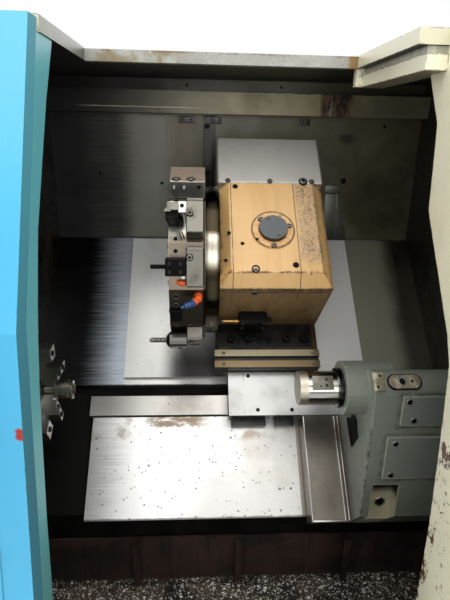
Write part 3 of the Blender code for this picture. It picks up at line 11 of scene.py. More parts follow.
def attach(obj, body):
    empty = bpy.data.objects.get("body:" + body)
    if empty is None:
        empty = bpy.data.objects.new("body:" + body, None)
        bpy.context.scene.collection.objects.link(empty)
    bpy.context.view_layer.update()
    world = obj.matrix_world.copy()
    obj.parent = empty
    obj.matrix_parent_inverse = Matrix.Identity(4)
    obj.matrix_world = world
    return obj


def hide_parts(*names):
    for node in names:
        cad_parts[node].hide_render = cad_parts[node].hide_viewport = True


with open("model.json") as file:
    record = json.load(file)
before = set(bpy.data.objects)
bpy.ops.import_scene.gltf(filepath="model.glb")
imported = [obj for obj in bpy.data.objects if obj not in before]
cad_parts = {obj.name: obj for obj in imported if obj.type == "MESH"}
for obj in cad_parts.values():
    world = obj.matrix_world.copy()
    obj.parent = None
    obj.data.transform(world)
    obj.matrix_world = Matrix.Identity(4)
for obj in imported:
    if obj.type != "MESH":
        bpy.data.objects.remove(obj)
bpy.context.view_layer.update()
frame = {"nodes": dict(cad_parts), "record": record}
NODES = frame["nodes"]
scene = bpy.context.scene
scene.view_settings.view_transform = 'Standard'

# The frames of the machine, in the row frame
SLOPE = math.radians(45)
SPINDLE = Matrix.Translation((-0.05, -0.3315, 1.05))
SLANT = SPINDLE @ Matrix.Rotation(SLOPE, 4, 'X')
TURRET = SLANT @ Matrix.Translation((0, 0.3515, 0))
TURRET_PHASE = 5
NOSE_HEIGHT = 0.287    # where the upper and the lower front meet, above the spindle
NOSE = SPINDLE @ Matrix.Translation((0, -0.36, NOSE_HEIGHT))
PANEL = NOSE @ Matrix.Rotation(math.atan2(0.463, 0.205), 4, 'X')
LOWER_LEAN = math.atan2(0.917, 0.127)
LOWER = NOSE @ Matrix.Rotation(LOWER_LEAN, 4, 'X')
TO_FRONT = Matrix.Rotation(math.radians(90), 4, 'X')
TO_BACK = Matrix.Rotation(math.radians(-90), 4, 'X')
TO_LEFT = Matrix.Rotation(math.radians(-90), 4, 'Y')
TO_RIGHT = Matrix.Rotation(math.radians(90), 4, 'Y')

# Levels that fittings stand on: radii of the turret, heights off the slope, distances from the spindle
PLATE_TOP = 0.2303
BLOCK_TOP = 0.2443
BORING_TOP = 0.2361
HOUSING_FACE = 0.085
CAP_SEAT = 0.0883
CAP_FACE = 0.0993
TOP_COVER_FACE = 0.088
FLANGE_FACE = -0.165
BASE_FACE = -0.210
TROUGH_FACE = -0.214
TAILSTOCK_FACE = -0.0990
REAR_WALL = 0.62
CHUCK_FACE = -0.352
DESK_FACE = 0.0553
SUNK = 0.0005    # how far a fitting reaches into what it stands on
CRISP = 0.0005   # a border without a visible soft edge
CREASE = math.radians(32)    # a sharper edge isn't shaded smooth
BEVEL_PROFILE = 0.6
JAW_DIRECTIONS = (95, 215, 335)


def station(degrees, x=0.0, along=0.0, radius=0.2):
    """The frame of a turret station, its Z along the radius."""
    turn = Matrix.Rotation(math.radians(degrees + TURRET_PHASE - 90), 4, 'X')
    return TURRET @ turn @ Matrix.Translation((x, along, radius))


def slant(x, u, n, turn=None):
    """A place on the slope, from the spindle: along X, up the slope and off it."""
    place = moved(SLANT, x, u, n)
    return place @ turn if turn else place


def spot(x, y, z, turn=None):
    """A place from the spindle, upright."""
    place = moved(SPINDLE, x, y, z)
    return place @ turn if turn else place


def moved(place, x, y, z):
    """A place moved along its own axes."""
    return place @ Matrix.Translation((x, y, z))


def circle(radius, angle):
    return radius * math.cos(angle), radius * math.sin(angle)


def lower(x, z, off=0.0):
    """A place on the lower front, by X and height."""
    return moved(LOWER, x, (z - NOSE_HEIGHT) / math.sin(LOWER_LEAN), off)


def upper(x, along, off=0.0):
    """A place on the upper front, by X and the distance above the nose."""
    return moved(PANEL, x, along, off)


def srgb(red, green, blue):
    """Linear colour of a screen colour."""
    return tuple(((c / 255 + 0.055) / 1.055) ** 2.4 if c > 10 else c / 255 / 12.92
                 for c in (red, green, blue))


def lighter(colour, times):
    return tuple(min(1.0, c * times) for c in colour)


# Camera at the photograph's place
YAW, PITCH, ROLL = math.radians(3.41), math.radians(18.55), math.radians(-1.24)
EYE = Matrix.Translation((0, -1.05, 0.573))


def make_camera():
    forward = Vector((math.sin(YAW) * math.cos(PITCH), math.cos(YAW) * math.cos(PITCH), -math.sin(PITCH)))
    right = Vector((math.cos(YAW), -math.sin(YAW), 0))
    down = forward.cross(right)
    across = math.cos(ROLL) * right + math.sin(ROLL) * down
    below = -math.sin(ROLL) * right + math.cos(ROLL) * down
    camera = bpy.data.objects.new("camera", bpy.data.cameras.new("camera"))
    scene.collection.objects.link(camera)
    camera.data.sensor_width = 36
    camera.data.lens = 30
    camera.data.clip_start = 0.05
    camera.matrix_world = SPINDLE @ EYE @ Matrix((across, -below, -forward)).transposed().to_4x4()
    scene.camera = camera


# Materials
class Shade:
    """A Principled material, built node by node. Coordinates are the row frame's metres.

    base is its colour so far. A share is a number, a socket, or a row (value, low, high, soft, shake,
    scale) for within."""

    def __init__(self, name, roughness=0.5, metallic=0.0, **constants):
        self.material = bpy.data.materials.new(name)
        self.material.use_nodes = True
        self.tree = self.material.node_tree
        self.shader = self.tree.nodes["Principled BSDF"]
        self.set(Roughness=roughness, Metallic=metallic, **constants)
        self.here = self.add('ShaderNodeTexCoord')
        self.place = self.here.outputs["Object"]
        self.base = None

    def set(self, **values):
        for socket, value in values.items():
            self.feed(self.shader.inputs[socket.replace("_", " ")], value)

    def add(self, kind, inputs=None, **settings):
        """A node with its settings, and with constants or other nodes' outputs on its inputs."""
        node = self.tree.nodes.new(kind)
        for name, value in settings.items():
            setattr(node, name, value)
        for socket, value in (inputs or {}).items():
            self.feed(node.inputs[socket], value)
        return node

    def feed(self, socket, value):
        if hasattr(value, "is_output"):
            self.tree.links.new(value, socket)
        elif socket.type == 'RGBA':
            socket.default_value = (*value, 1)
        else:
            socket.default_value = value

    def at(self, scale=(1, 1, 1), shift=(0, 0, 0)):
        return self.add('ShaderNodeMapping', {"Vector": self.place, "Scale": scale,
                                              "Location": shift}).outputs["Vector"]

    def slope(self, scale=(1, 1, 1)):
        """Slant frame coordinates: X, up the slope and off it, each scaled."""
        turned = self.add('ShaderNodeMapping', {"Vector": self.place, "Location": SPINDLE.translation,
                                                "Rotation": (SLOPE, 0, 0)}, vector_type='TEXTURE')
        return self.add('ShaderNodeMapping', {"Vector": turned.outputs["Vector"],
                                              "Scale": scale}).outputs["Vector"]

    def local(self):
        """Spindle frame coordinates."""
        return self.at(shift=-SPINDLE.translation)

    def axes(self, vector):
        return self.add('ShaderNodeSeparateXYZ', {0: vector}).outputs

    def facing(self, direction):
        """One where the surface faces a direction of the row frame."""
        dot = self.add('ShaderNodeVectorMath', {0: self.here.outputs["Normal"], 1: direction},
                       operation='DOT_PRODUCT')
        return self.step(dot.outputs["Value"], 0.6, 0.8)

    def away(self, a, b, middle):
        """The distance in the plane of two coordinates from a middle."""
        flat = self.add('ShaderNodeCombineXYZ', {0: self.calc('SUBTRACT', a, middle[0]),
                                                 1: self.calc('SUBTRACT', b, middle[1])})
        return self.add('ShaderNodeVectorMath', {0: flat.outputs[0]}, operation='LENGTH').outputs["Value"]

    def noise(self, scale, detail=4, roughness=0.55, vector=None):
        return self.add('ShaderNodeTexNoise', {"Vector": vector or self.place, "Scale": scale,
                                               "Detail": detail, "Roughness": roughness}).outputs["Fac"]

    def lines(self, vector, detail, roughness=0.55):
        """Noise drawn out by a vector that is scaled unevenly."""
        return self.noise(1, detail, roughness, vector)

    def dots(self, scale, size=0.14, kept=0.5, vector=None):
        """Round specks of uneven size, some of them left out."""
        cells = self.add('ShaderNodeTexVoronoi', {"Vector": vector or self.place, "Scale": scale})
        reach = self.step(self.axes(cells.outputs["Color"])[0], 1 - kept, 1, 0, size)
        return self.step(self.calc('SUBTRACT', reach, cells.outputs["Distance"]), 0, 0.04)

    def step(self, value, low, high, to_low=0.0, to_high=1.0):
        """Goes smoothly from to_low to to_high as value goes from low to high."""
        return self.add('ShaderNodeMapRange', {"Value": value, "From Min": low, "From Max": high,
                                               "To Min": to_low, "To Max": to_high},
                        interpolation_type='SMOOTHSTEP').outputs["Result"]

    def within(self, value, low, high, soft=0.003, shake=0.0, scale=25):
        """One between two values. The borders are soft, ragged with a shake, and open where they are None."""
        if shake:
            value = self.shaken(value, shake, scale)
        up = self.step(value, low - soft, low + soft) if low is not None else None
        down = self.step(value, high - soft, high + soft, 1, 0) if high is not None else None
        if up is None or down is None:
            return up or down
        return self.calc('MULTIPLY', up, down)

    def calc(self, operation, a, b=0.0):
        return self.add('ShaderNodeMath', {0: a, 1: b}, operation=operation).outputs[0]

    def joined(self, operation, shares):
        values = [self.within(*share) if isinstance(share, tuple) else share for share in shares]
        total = values[0]
        for value in values[1:]:
            total = self.calc(operation, total, value)
        return total

    def times(self, *shares):
        return self.joined('MULTIPLY', shares)

    def most(self, *shares):
        return self.joined('MAXIMUM', shares)

    def swayed(self, value, ragged, amount):
        """A value that noise pushes to and fro."""
        return self.calc('ADD', value, self.calc('MULTIPLY', self.calc('SUBTRACT', ragged, 0.5), amount))

    def shaken(self, value, amount, scale=25):
        """A coordinate with ragged noise on it, for borders that aren't straight."""
        return self.swayed(value, self.noise(scale, 5, 0.65), 2 * amount)

    def mix(self, share, a, b):
        return self.add('ShaderNodeMix', {0: self.times(share), 6: a, 7: b}, data_type='RGBA').outputs[2]

    def coat(self, colour, *shares):
        """Lays a colour over the base, as far as all the shares let it."""
        self.base = self.mix(self.times(*shares), self.base, colour)

    def edges(self, width):
        """One on edges, zero on flats, from the difference of a bevelled normal."""
        bevel = self.add('ShaderNodeBevel', {"Radius": width}, samples=4)
        geometry = self.add('ShaderNodeNewGeometry')
        dot = self.add('ShaderNodeVectorMath', {0: bevel.outputs[0], 1: geometry.outputs["True Normal"]},
                       operation='DOT_PRODUCT')
        return self.step(dot.outputs["Value"], 0.99, 0.90)

    def bump(self, height, distance=0.001, strength=1.0):
        node = self.add('ShaderNodeBump', {"Height": height, "Distance": distance, "Strength": strength})
        self.set(Normal=node.outputs["Normal"])

    def finish(self, roughness=None, metallic=None):
        """Links the base and, where they are given, what roughness and metallic follow."""
        self.set(Base_Color=self.base)
        if roughness is not None:
            self.set(Roughness=roughness)
        if metallic is not None:
            self.set(Metallic=metallic)
        return self.material


OIL_AND_SHADOW = srgb(24, 21, 17)
BROWN = srgb(70, 48, 28)
RUST = srgb(120, 62, 26)
OLIVE = srgb(58, 56, 42)


def enamel(s, colour, grime, grime_colour, chips, metal, streak=0.3):
    """Paint with cloudy patches, run-down streaks, pinholes and chipped edges. Returns the share of dirt."""
    patches = s.step(s.noise(5.5, 6, 0.62), 0.48, 0.75)
    streaks = s.step(s.lines(s.at((34, 34, 2.2)), 4, 0.6), 0.52, 0.78)
    s.base = s.mix(s.noise(2.1, 3), lighter(colour, 1.05), lighter(colour, 0.84))
    dirt = s.calc('ADD', s.times(patches, grime), s.times(streaks, grime * streak))
    dirt = s.calc('MINIMUM', s.most(dirt, s.times(s.dots(70, 0.10, 0.35), min(1, 2 * grime))), 1.0)
    s.coat(grime_colour, dirt)
    if chips:
        low = 0.62 - 0.2 * chips
        s.coat(metal, s.edges(0.004), s.step(s.noise(60, 5, 0.7), low, low + 0.04))
    s.bump(s.noise(420, 2), 0.0002, 0.35)
    return dirt


def paint(name, colour, grime=0.25, grime_colour=(0.10, 0.075, 0.045), chips=0.0, roughness=0.42, streak=0.3):
    s = Shade(name, roughness)
    dirt = enamel(s, colour, grime, grime_colour, chips, (0.20, 0.13, 0.08), streak)
    return s.finish(s.step(dirt, 0, 1, roughness, roughness + 0.3))


def brushed(s, colour, vector, brush=0.08):
    """Fine parallel lines as the base and in relief. Returns the lines themselves."""
    lines = s.lines(vector, 3, 0.6)
    s.bump(lines, 0.0003, 0.10)
    s.base = s.mix(lines, lighter(colour, 1 - brush), lighter(colour, 1 + brush))
    return lines


def sheet(name, colour, roughness, slanted, stain, stain_colour=(0.16, 0.10, 0.05)):
    """Brushed sheet metal with fine lines, blotches of dried coolant and specks."""
    s = Shade(name, roughness, 1.0, Anisotropic=0.4)
    lines = brushed(s, colour, s.slope((3, 900, 900)) if slanted else s.at((900, 900, 3)))
    blotch = s.step(s.noise(9, 5, 0.6), 0.50, 0.72)
    dirt = s.most(s.times(blotch, stain), s.times(s.dots(55, 0.13, 0.4), 0.7))
    s.coat(stain_colour, dirt)
    shine = s.step(lines, 0.2, 0.8, roughness - 0.05, roughness + 0.07)
    return s.finish(s.calc('ADD', shine, s.times(dirt, 0.3)))


def machined(name, colour, roughness=0.3, stain=0.15, scale=(900, 30, 30), edge=0.35, oil=OIL_AND_SHADOW):
    """Cut and ground metal: tool marks, oily film in patches and bright edges."""
    s = Shade(name, roughness, 1.0)
    marks = s.lines(s.at(scale), 3, 0.6)
    film = s.step(s.noise(14, 5, 0.65), 0.48, 0.72)
    s.base = s.mix(marks, lighter(colour, 0.86), colour)
    s.coat(oil, film, stain)
    s.coat(tuple(min(1, c * 1.6 + 0.12) for c in colour), s.edges(0.0015), edge)
    s.bump(marks, 0.0002, 0.15)
    return s.finish(s.step(film, 0, 1, roughness, roughness + 0.18))


def cast(name, colour):
    """Rough grey casting."""
    s = Shade(name, 0.6, 0.4)
    grain = s.noise(160, 6, 0.7)
    s.base = s.mix(grain, lighter(colour, 0.7), lighter(colour, 1.25))
    s.bump(grain, 0.0008, 0.4)
    return s.finish()


def plastic(name, colour, roughness=0.4):
    s = Shade(name, roughness)
    s.base = s.mix(s.noise(40, 4), lighter(colour, 0.82), colour)
    s.coat(lighter(colour, 1.7), s.edges(0.001), 0.4)
    s.bump(s.noise(500, 3, 0.6), 0.0002, 0.25)
    return s.finish()


def clear_glass(name):
    s = Shade(name, 0.08, 0.0, IOR=1.5, Transmission_Weight=0.85)
    smear = s.step(s.noise(7, 5, 0.6), 0.4, 0.75)
    s.base = s.mix(smear, (0.82, 0.86, 0.86), (0.55, 0.58, 0.55))
    return s.finish(s.step(smear, 0, 1, 0.04, 0.22))


# Materials of single surfaces, with their stains where the machine has them
def fixed_cover_metal():
    """The long slant cover: black at the left as painted shade and reflection, brushed grey, dark olive past
    the way covers.
    """
    s = Shade("fixed_cover_metal", 0.32, 0.5, Anisotropic=0.4)
    x, u, _ = s.axes(s.slope())
    lines = brushed(s, srgb(190, 198, 208), s.slope((3, 800, 800)), 0.12)
    streaks = s.lines(s.slope((9, 420, 420)), 3, 0.6)
    # Painted shade and reflection: ragged black towards the left, where the dark left wall is mirrored
    border = s.swayed(x, streaks, 0.11)
    dark = s.calc("POWER", s.step(border, -0.340, -0.240, 1, 0), 0.6)
    s.coat(srgb(17, 16, 15), dark)
    haze = s.step(s.noise(6, 5, 0.6), 0.42, 0.70)
    right = s.step(x, 0.60, 0.66)
    s.coat(s.mix(haze, srgb(78, 76, 64), srgb(48, 46, 38)), right)
    s.coat(srgb(214, 213, 208), (x, -0.21, 0.56, 0.002), (u, 0.09, 0.125))
    low = s.times((u, None, 0.0945, 0.002, 0.003, 30), 0.9)
    s.coat(OIL_AND_SHADOW, low)
    return s.finish(s.calc('ADD', s.step(lines, 0.2, 0.8, 0.24, 0.36), s.times(right, 0.15)))


def way_cover_metal(name, colour, metallic, dark, dark_colour, shadow=None):
    """A brushed telescopic cover plate with oily film; it darkens past dark along X, and where shadow is
    given it has a painted shadow and a painted lighter end.
    """
    s = Shade(name, 0.34, metallic, Anisotropic=0.4)
    x, u, _ = s.axes(s.slope())
    lines = brushed(s, colour, s.slope((3, 800, 800)), 0.06)
    film = s.step(s.lines(s.slope((8, 3, 3)), 5, 0.6), 0.50, 0.75)
    s.coat(lighter(colour, 0.5), film, 0.35)
    s.coat(dark_colour, s.step(s.shaken(x, 0.02, 12), dark[0], dark[1]))
    s.coat(BROWN, s.dots(45, 0.13, 0.25), 0.6)
    if shadow:
        low, high, deep = shadow
        # Painted shadow under the turret, between two X and deepening down the slope
        dim = s.times((x, low, high, 0.03), s.step(u, 0.30, 0.15, 0, deep))
        # Painted light: past X 0.32 the plate is painted nearly white where the housing shades it
        s.coat(srgb(252, 251, 246), s.step(x, 0.32, 0.35))
        s.coat(OIL_AND_SHADOW, dim)
    return s.finish(s.step(lines, 0.2, 0.8, 0.27, 0.38))


def rear_wall_metal():
    """Rear wall: black with fine lines at the left as painted shade and reflection, olive dirt elsewhere, a
    brown cross beam with drips.
    """
    s = Shade("rear_wall_metal", 0.46, 0.1)
    x, y, z = s.axes(s.local())
    lines = s.lines(s.at((4, 4, 600)), 3, 0.6)
    cloud = s.noise(5, 6, 0.65)
    s.base = s.mix(s.step(cloud, 0.3, 0.7), srgb(64, 60, 42), srgb(104, 99, 72))
    patch = s.times((x, -0.225, -0.085, 0.05, 0.05, 8), (z, 0.235, 0.62))
    s.coat(s.mix(cloud, srgb(104, 104, 94), srgb(138, 137, 126)), patch, 0.85)
    drips = s.step(s.lines(s.at((70, 70, 3)), 3, 0.55), 0.50, 0.66)
    stained = s.times((x, -0.11, 0.01, 0.02), (z, 0.36, 0.61, 0.05), drips)
    s.coat(srgb(104, 80, 48), stained, 0.8)
    # Painted shade and reflection: the wall turns black with fine lines towards the left
    edge = s.swayed(x, lines, 0.10)
    s.coat(s.mix(s.step(lines, 0.3, 0.7), srgb(14, 14, 13), srgb(52, 52, 48)),
           s.step(edge, -0.260, -0.195, 1, 0))
    smudge = s.times((x, 0.455, 0.50, 0.012, 0.02), (z, 0.545, 0.572, 0.008, 0.02))
    s.coat(srgb(20, 20, 18), smudge, 0.8)
    # Cross beam and the band above it
    beam_front = 0.6185
    beam = s.within(y, None, beam_front, CRISP)
    beam_colour = s.mix(s.step(x, -0.30, 0.25), srgb(34, 26, 18), srgb(150, 140, 104))
    beam_colour = s.mix(s.times(s.step(cloud, 0.45, 0.70), 0.5), beam_colour, srgb(60, 46, 28))
    beam_colour = s.mix(s.times(s.step(x, 0.46, 0.60), 0.6), beam_colour, srgb(104, 106, 88))
    line = s.times((z, 0.640, 0.6425, 0.0008, 0.002, 40), (x, None, 0.0, 0.05))
    beam_colour = s.mix(s.times(line, 0.6), beam_colour, srgb(214, 206, 172))
    rust = s.times((x, 0.380, 0.470, 0.012, 0.02, 30),
                   s.step(s.lines(s.at((60, 60, 9)), 5, 0.65), 0.34, 0.50))
    beam_colour = s.mix(rust, beam_colour, s.mix(s.step(s.noise(60, 4), 0.5, 0.62), srgb(22, 13, 8),
                                                 srgb(96, 58, 30)))
    sill = s.within(s.shaken(z, 0.003, 30), 0.688, None, 0.0015)
    s.coat(s.mix(sill, beam_colour, srgb(14, 12, 9)), beam)
    band = s.within(z, 0.6915, None, 0.002)
    above = s.mix(s.step(x, -0.2, 0.35), srgb(36, 29, 20), srgb(92, 88, 70))
    s.coat(above, band, (y, beam_front, None, CRISP))
    # Painted shade: the far left is nearly black
    left = s.step(x, -0.30, -0.38)
    s.coat(srgb(13, 13, 12), left)
    s.bump(cloud, 0.0006, 0.2)
    return s.finish(s.step(cloud, 0.3, 0.7, 0.30, 0.55))


def lower_cover_metal():
    """Bright brushed sheet with specks, a brown stain along its top and dull lines at the left."""
    s = Shade("lower_cover_metal", 0.36, 0.6, Anisotropic=0.35)
    x, u, _ = s.axes(s.slope())
    lines = brushed(s, srgb(208, 207, 203), s.slope((3, 700, 700)), 0.05)
    cloud = s.noise(7, 5, 0.6)
    s.coat(srgb(176, 166, 150), s.step(cloud, 0.45, 0.72, 0, 0.45))
    streaks = s.lines(s.slope((9, 420, 420)), 2, 0.5)
    left = s.swayed(x, streaks, 0.12)
    # Painted light: the left part is painted nearly white where the lamps leave it in shade
    s.coat(srgb(252, 251, 248), s.step(x, 0.05, -0.10, 0, 0.8))
    s.coat(srgb(110, 110, 108), s.step(left, -0.30, -0.18, 1, 0), 0.5)
    stain = s.times((u, -0.026, None, 0.008, 0.022, 40), (x, -0.135, 0.02, 0.03, 0.03, 14),
                    s.step(s.lines(s.slope((30, 60, 60)), 5, 0.7), 0.34, 0.56))
    s.coat(srgb(112, 90, 58), stain, 0.9)
    rust = s.times((u, -0.062, None, 0.01, 0.012, 26), s.step(cloud, 0.52, 0.62))
    s.coat(srgb(122, 96, 62), rust, 0.55)
    clump = s.step(s.noise(9, 3, 0.5), 0.48, 0.66)
    specks = s.most(s.times(s.dots(62, 0.26, 0.6, s.slope()), clump),
                    s.times(s.dots(110, 0.26, 0.45, s.slope()), 0.85))
    s.coat(srgb(52, 36, 20), specks, (x, -0.285, 0.28, 0.002))
    trough = s.within(x, 0.281, None, 0.001)
    s.coat(s.mix(cloud, srgb(118, 108, 97), srgb(168, 160, 150)), trough)
    s.coat(srgb(70, 62, 52), (x, 0.395, None, 0.01))
    low = s.within(s.shaken(u, 0.004, 30), None, -0.264, 0.002)
    s.coat(srgb(60, 52, 42), low, 0.8)
    return s.finish(s.calc('ADD', s.step(lines, 0.2, 0.8, 0.32, 0.44), s.times(specks, 0.3)))


def bright_cover_metal(name, colour, grime=0.5, trough=False):
    """Ground plate: silver with brown dirt run out of its corners and a few specks."""
    s = Shade(name, 0.32, 0.6, Anisotropic=0.3)
    x, u, n = s.axes(s.slope())
    brushed(s, colour, s.slope((700, 3, 700)), 0.05)
    cloud = s.noise(11, 5, 0.65)
    s.coat(srgb(132, 112, 84), s.step(cloud, 0.50, 0.78, 0, grime))
    s.coat(srgb(60, 44, 28), s.dots(75, 0.16, 0.35, s.slope()))
    s.coat(srgb(246, 244, 238), s.edges(0.0015), 0.6)
    if trough:
        inside = s.times((x, 0.2895, None, CRISP), (u, None, -0.0141, CRISP))
        runs = s.lines(s.slope((9, 5, 9)), 6, 0.6)
        hollow = s.mix(s.step(runs, 0.34, 0.66), srgb(104, 98, 88), srgb(130, 124, 113))
        hollow = s.mix(s.step(s.shaken(u, 0.02, 20), -0.13, -0.03, 0, 0.7), hollow, srgb(72, 66, 58))
        s.coat(s.mix((x, 0.381, None, 0.001), hollow, srgb(84, 68, 58)), inside)
        # Painted shade: the recess under the plate's overhanging edge is nearly black
        under = s.times((n, None, -0.2115, CRISP), (u, -0.030, None, 0.001), (x, None, 0.289, 0.001))
        s.coat(srgb(30, 32, 30), under)
    return s.finish(s.step(cloud, 0.4, 0.8, 0.28, 0.44))


def housing_paint():
    """Yellowed sand enamel: grime in the mitres, a worn speckled zone, painted shade and brown streaks
    underneath.
    """
    s = Shade("housing_paint", 0.4)
    x, u, n = s.axes(s.slope())
    sand = srgb(214, 172, 112)
    s.base = s.mix(s.noise(7, 5, 0.6), lighter(sand, 0.86), lighter(sand, 1.06))
    runs = s.step(s.lines(s.slope((60, 3, 3)), 4, 0.6), 0.47, 0.68)
    s.coat(srgb(170, 112, 52), runs, 0.16)
    # Worn, speckled zone at the upper right
    worn = s.times((x, 0.261, 0.322, 0.007, 0.014, 34), (u, 0.300, 0.545, 0.02, 0.02, 20),
                   (n, 0.05, None, 0.004))
    rough = s.noise(90, 5, 0.75)
    s.coat(srgb(178, 152, 118), worn, s.step(rough, 0.30, 0.62, 0, 0.9))
    s.coat(srgb(88, 70, 50), worn, s.step(s.noise(170, 6, 0.8), 0.47, 0.60, 0, 0.85),
           s.step(s.noise(12, 3), 0.3, 0.55, 0.3, 1))
    # Dark grime along the bevel and the seams
    ragged = s.noise(46, 5, 0.7)
    mitre = s.times((u, 0.232, 0.2385, 0.002, 0.003, 60), (n, 0.03, None, 0.004))
    upper = s.times((u, 0.2655, 0.2705, 0.002, 0.003, 60), (n, 0.07, None, 0.004))
    s.coat(srgb(84, 50, 24), s.most(mitre, upper), s.step(ragged, 0.40, 0.58))
    seams = s.most((x, 0.0885, 0.0905, 0.0006), (x, 0.2565, 0.2585, 0.0006))
    s.coat(srgb(60, 34, 18), seams, s.step(ragged, 0.30, 0.5, 0.4, 0.95))
    side = s.within(x, 0.334, None, 0.003)
    s.coat(srgb(132, 84, 36), side, s.step(ragged, 0.4, 0.7, 0.35, 0.8))
    left = s.times((x, None, 0.064, 0.004, 0.006, 40), s.step(ragged, 0.42, 0.62))
    s.coat(srgb(92, 56, 26), left, 0.8)
    # Underside: dark brown as painted shade, with streaks of dirt that thicken down to the flange and painted
    # shade deepening towards it
    under = s.within(u, None, 0.2372, CRISP)
    streaks = s.step(s.lines(s.slope((34, 34, 9)), 6, 0.62), 0.36, 0.74)
    depth = s.step(n, 0.06, -0.13, 0.35, 0.85)
    s.coat(srgb(86, 67, 39), under, 0.95)
    s.coat(srgb(52, 40, 24), under, s.most(s.times(depth, streaks), s.step(n, -0.05, -0.165, 0, 0.85)))
    s.coat(srgb(76, 46, 24), s.dots(60, 0.13, 0.3), 0.8)
    s.coat(srgb(58, 38, 24), s.edges(0.003), s.step(s.noise(70, 5, 0.7), 0.50, 0.56))
    s.bump(s.noise(300, 3), 0.0003, 0.4)
    return s.finish(s.step(ragged, 0.3, 0.7, 0.34, 0.55))


def drum_metal():
    """Turret: pale segments at the top, dark brown ones below, a polished rim with fine rings and a painted
    reflection on it.
    """
    s = Shade("drum_metal", 0.26, 1.0)
    x, u, _ = s.axes(s.slope())
    across = s.calc('SUBTRACT', u, 0.3515)
    rim_start = 0.0195
    marks = s.lines(s.slope((500, 30, 30)), 3, 0.6)
    s.base = s.mix(marks, srgb(152, 150, 140), srgb(194, 191, 180))
    cloud = s.noise(13, 5, 0.65)
    s.coat(srgb(110, 100, 80), s.step(cloud, 0.54, 0.80, 0, 0.3))
    top = s.step(s.shaken(across, 0.01, 20), 0.09, 0.12)
    s.coat(s.mix(cloud, srgb(44, 34, 24), srgb(92, 76, 56)), s.step(across, -0.04, -0.06),
           (x, None, 0.016, 0.001), 0.86)
    s.coat(srgb(84, 80, 72), top, 0.35)
    # Painted reflection on the polished rim: a bright band between darker zones above and below
    rings = s.lines(s.slope((420, 1, 1)), 2, 0.5)
    rim = s.mix(rings, srgb(150, 142, 120), srgb(246, 240, 222))
    rim = s.mix(s.step(s.shaken(across, 0.01, 10), -0.064, -0.034), rim, srgb(50, 44, 32))
    rim = s.mix(s.step(across, 0.0, 0.10), rim, srgb(40, 35, 26))
    rim = s.mix(s.step(s.shaken(across, 0.01, 10), -0.092, -0.125), rim, srgb(62, 57, 44))
    s.coat(srgb(48, 43, 35), (x, 0.0145, None, CRISP))
    s.coat(rim, (x, rim_start, None, CRISP))
    s.coat(srgb(236, 234, 228), s.edges(0.0015), (x, None, 0.014, 0.001), 0.5)
    # The rim is polished round: its flats are shaded as one curve
    s.bump(marks, 0.0002, 0.15)
    round_rim = s.add('ShaderNodeBevel', {"Radius": 0.024}, samples=8)
    flat = s.shader.inputs["Normal"].links[0].from_socket
    blend = s.add('ShaderNodeMix', {0: s.within(x, rim_start, None, CRISP), 4: flat, 5: round_rim.outputs[0]},
                  data_type='VECTOR')
    s.set(Normal=blend.outputs[1])
    return s.finish(s.step(x, 0.019, 0.020, 0.30, 0.16))


def pan_paint():
    """Chip pan: red-brown back wall with drips, black grimy floor strewn with pale specks."""
    s = Shade("pan_paint", 0.5)
    _, _, z = s.axes(s.local())
    cloud = s.noise(8, 6, 0.65)
    s.base = s.mix(s.step(cloud, 0.35, 0.65), srgb(24, 18, 15), srgb(56, 36, 29))
    drips = s.step(s.lines(s.at((60, 60, 3)), 4, 0.6), 0.52, 0.64)
    s.coat(srgb(12, 9, 8), drips, 0.7)
    floor = s.within(s.shaken(z, 0.012, 20), None, -0.604, 0.006)
    ground = s.mix(s.step(cloud, 0.4, 0.6), srgb(18, 15, 12), srgb(70, 60, 46))
    crumbs = s.most(s.dots(70, 0.40, 0.85), s.dots(130, 0.44, 0.9), s.dots(230, 0.46, 0.9))
    shaded = s.mix(s.step(s.noise(120, 2), 0.3, 0.7), srgb(150, 142, 126), srgb(255, 252, 244))
    ground = s.mix(s.times(crumbs, s.step(s.noise(14, 4, 0.6), 0.30, 0.50)), ground, shaded)
    s.coat(ground, floor)
    s.bump(s.noise(130, 5, 0.7), 0.002, 0.5)
    return s.finish(s.step(cloud, 0.3, 0.7, 0.35, 0.65))


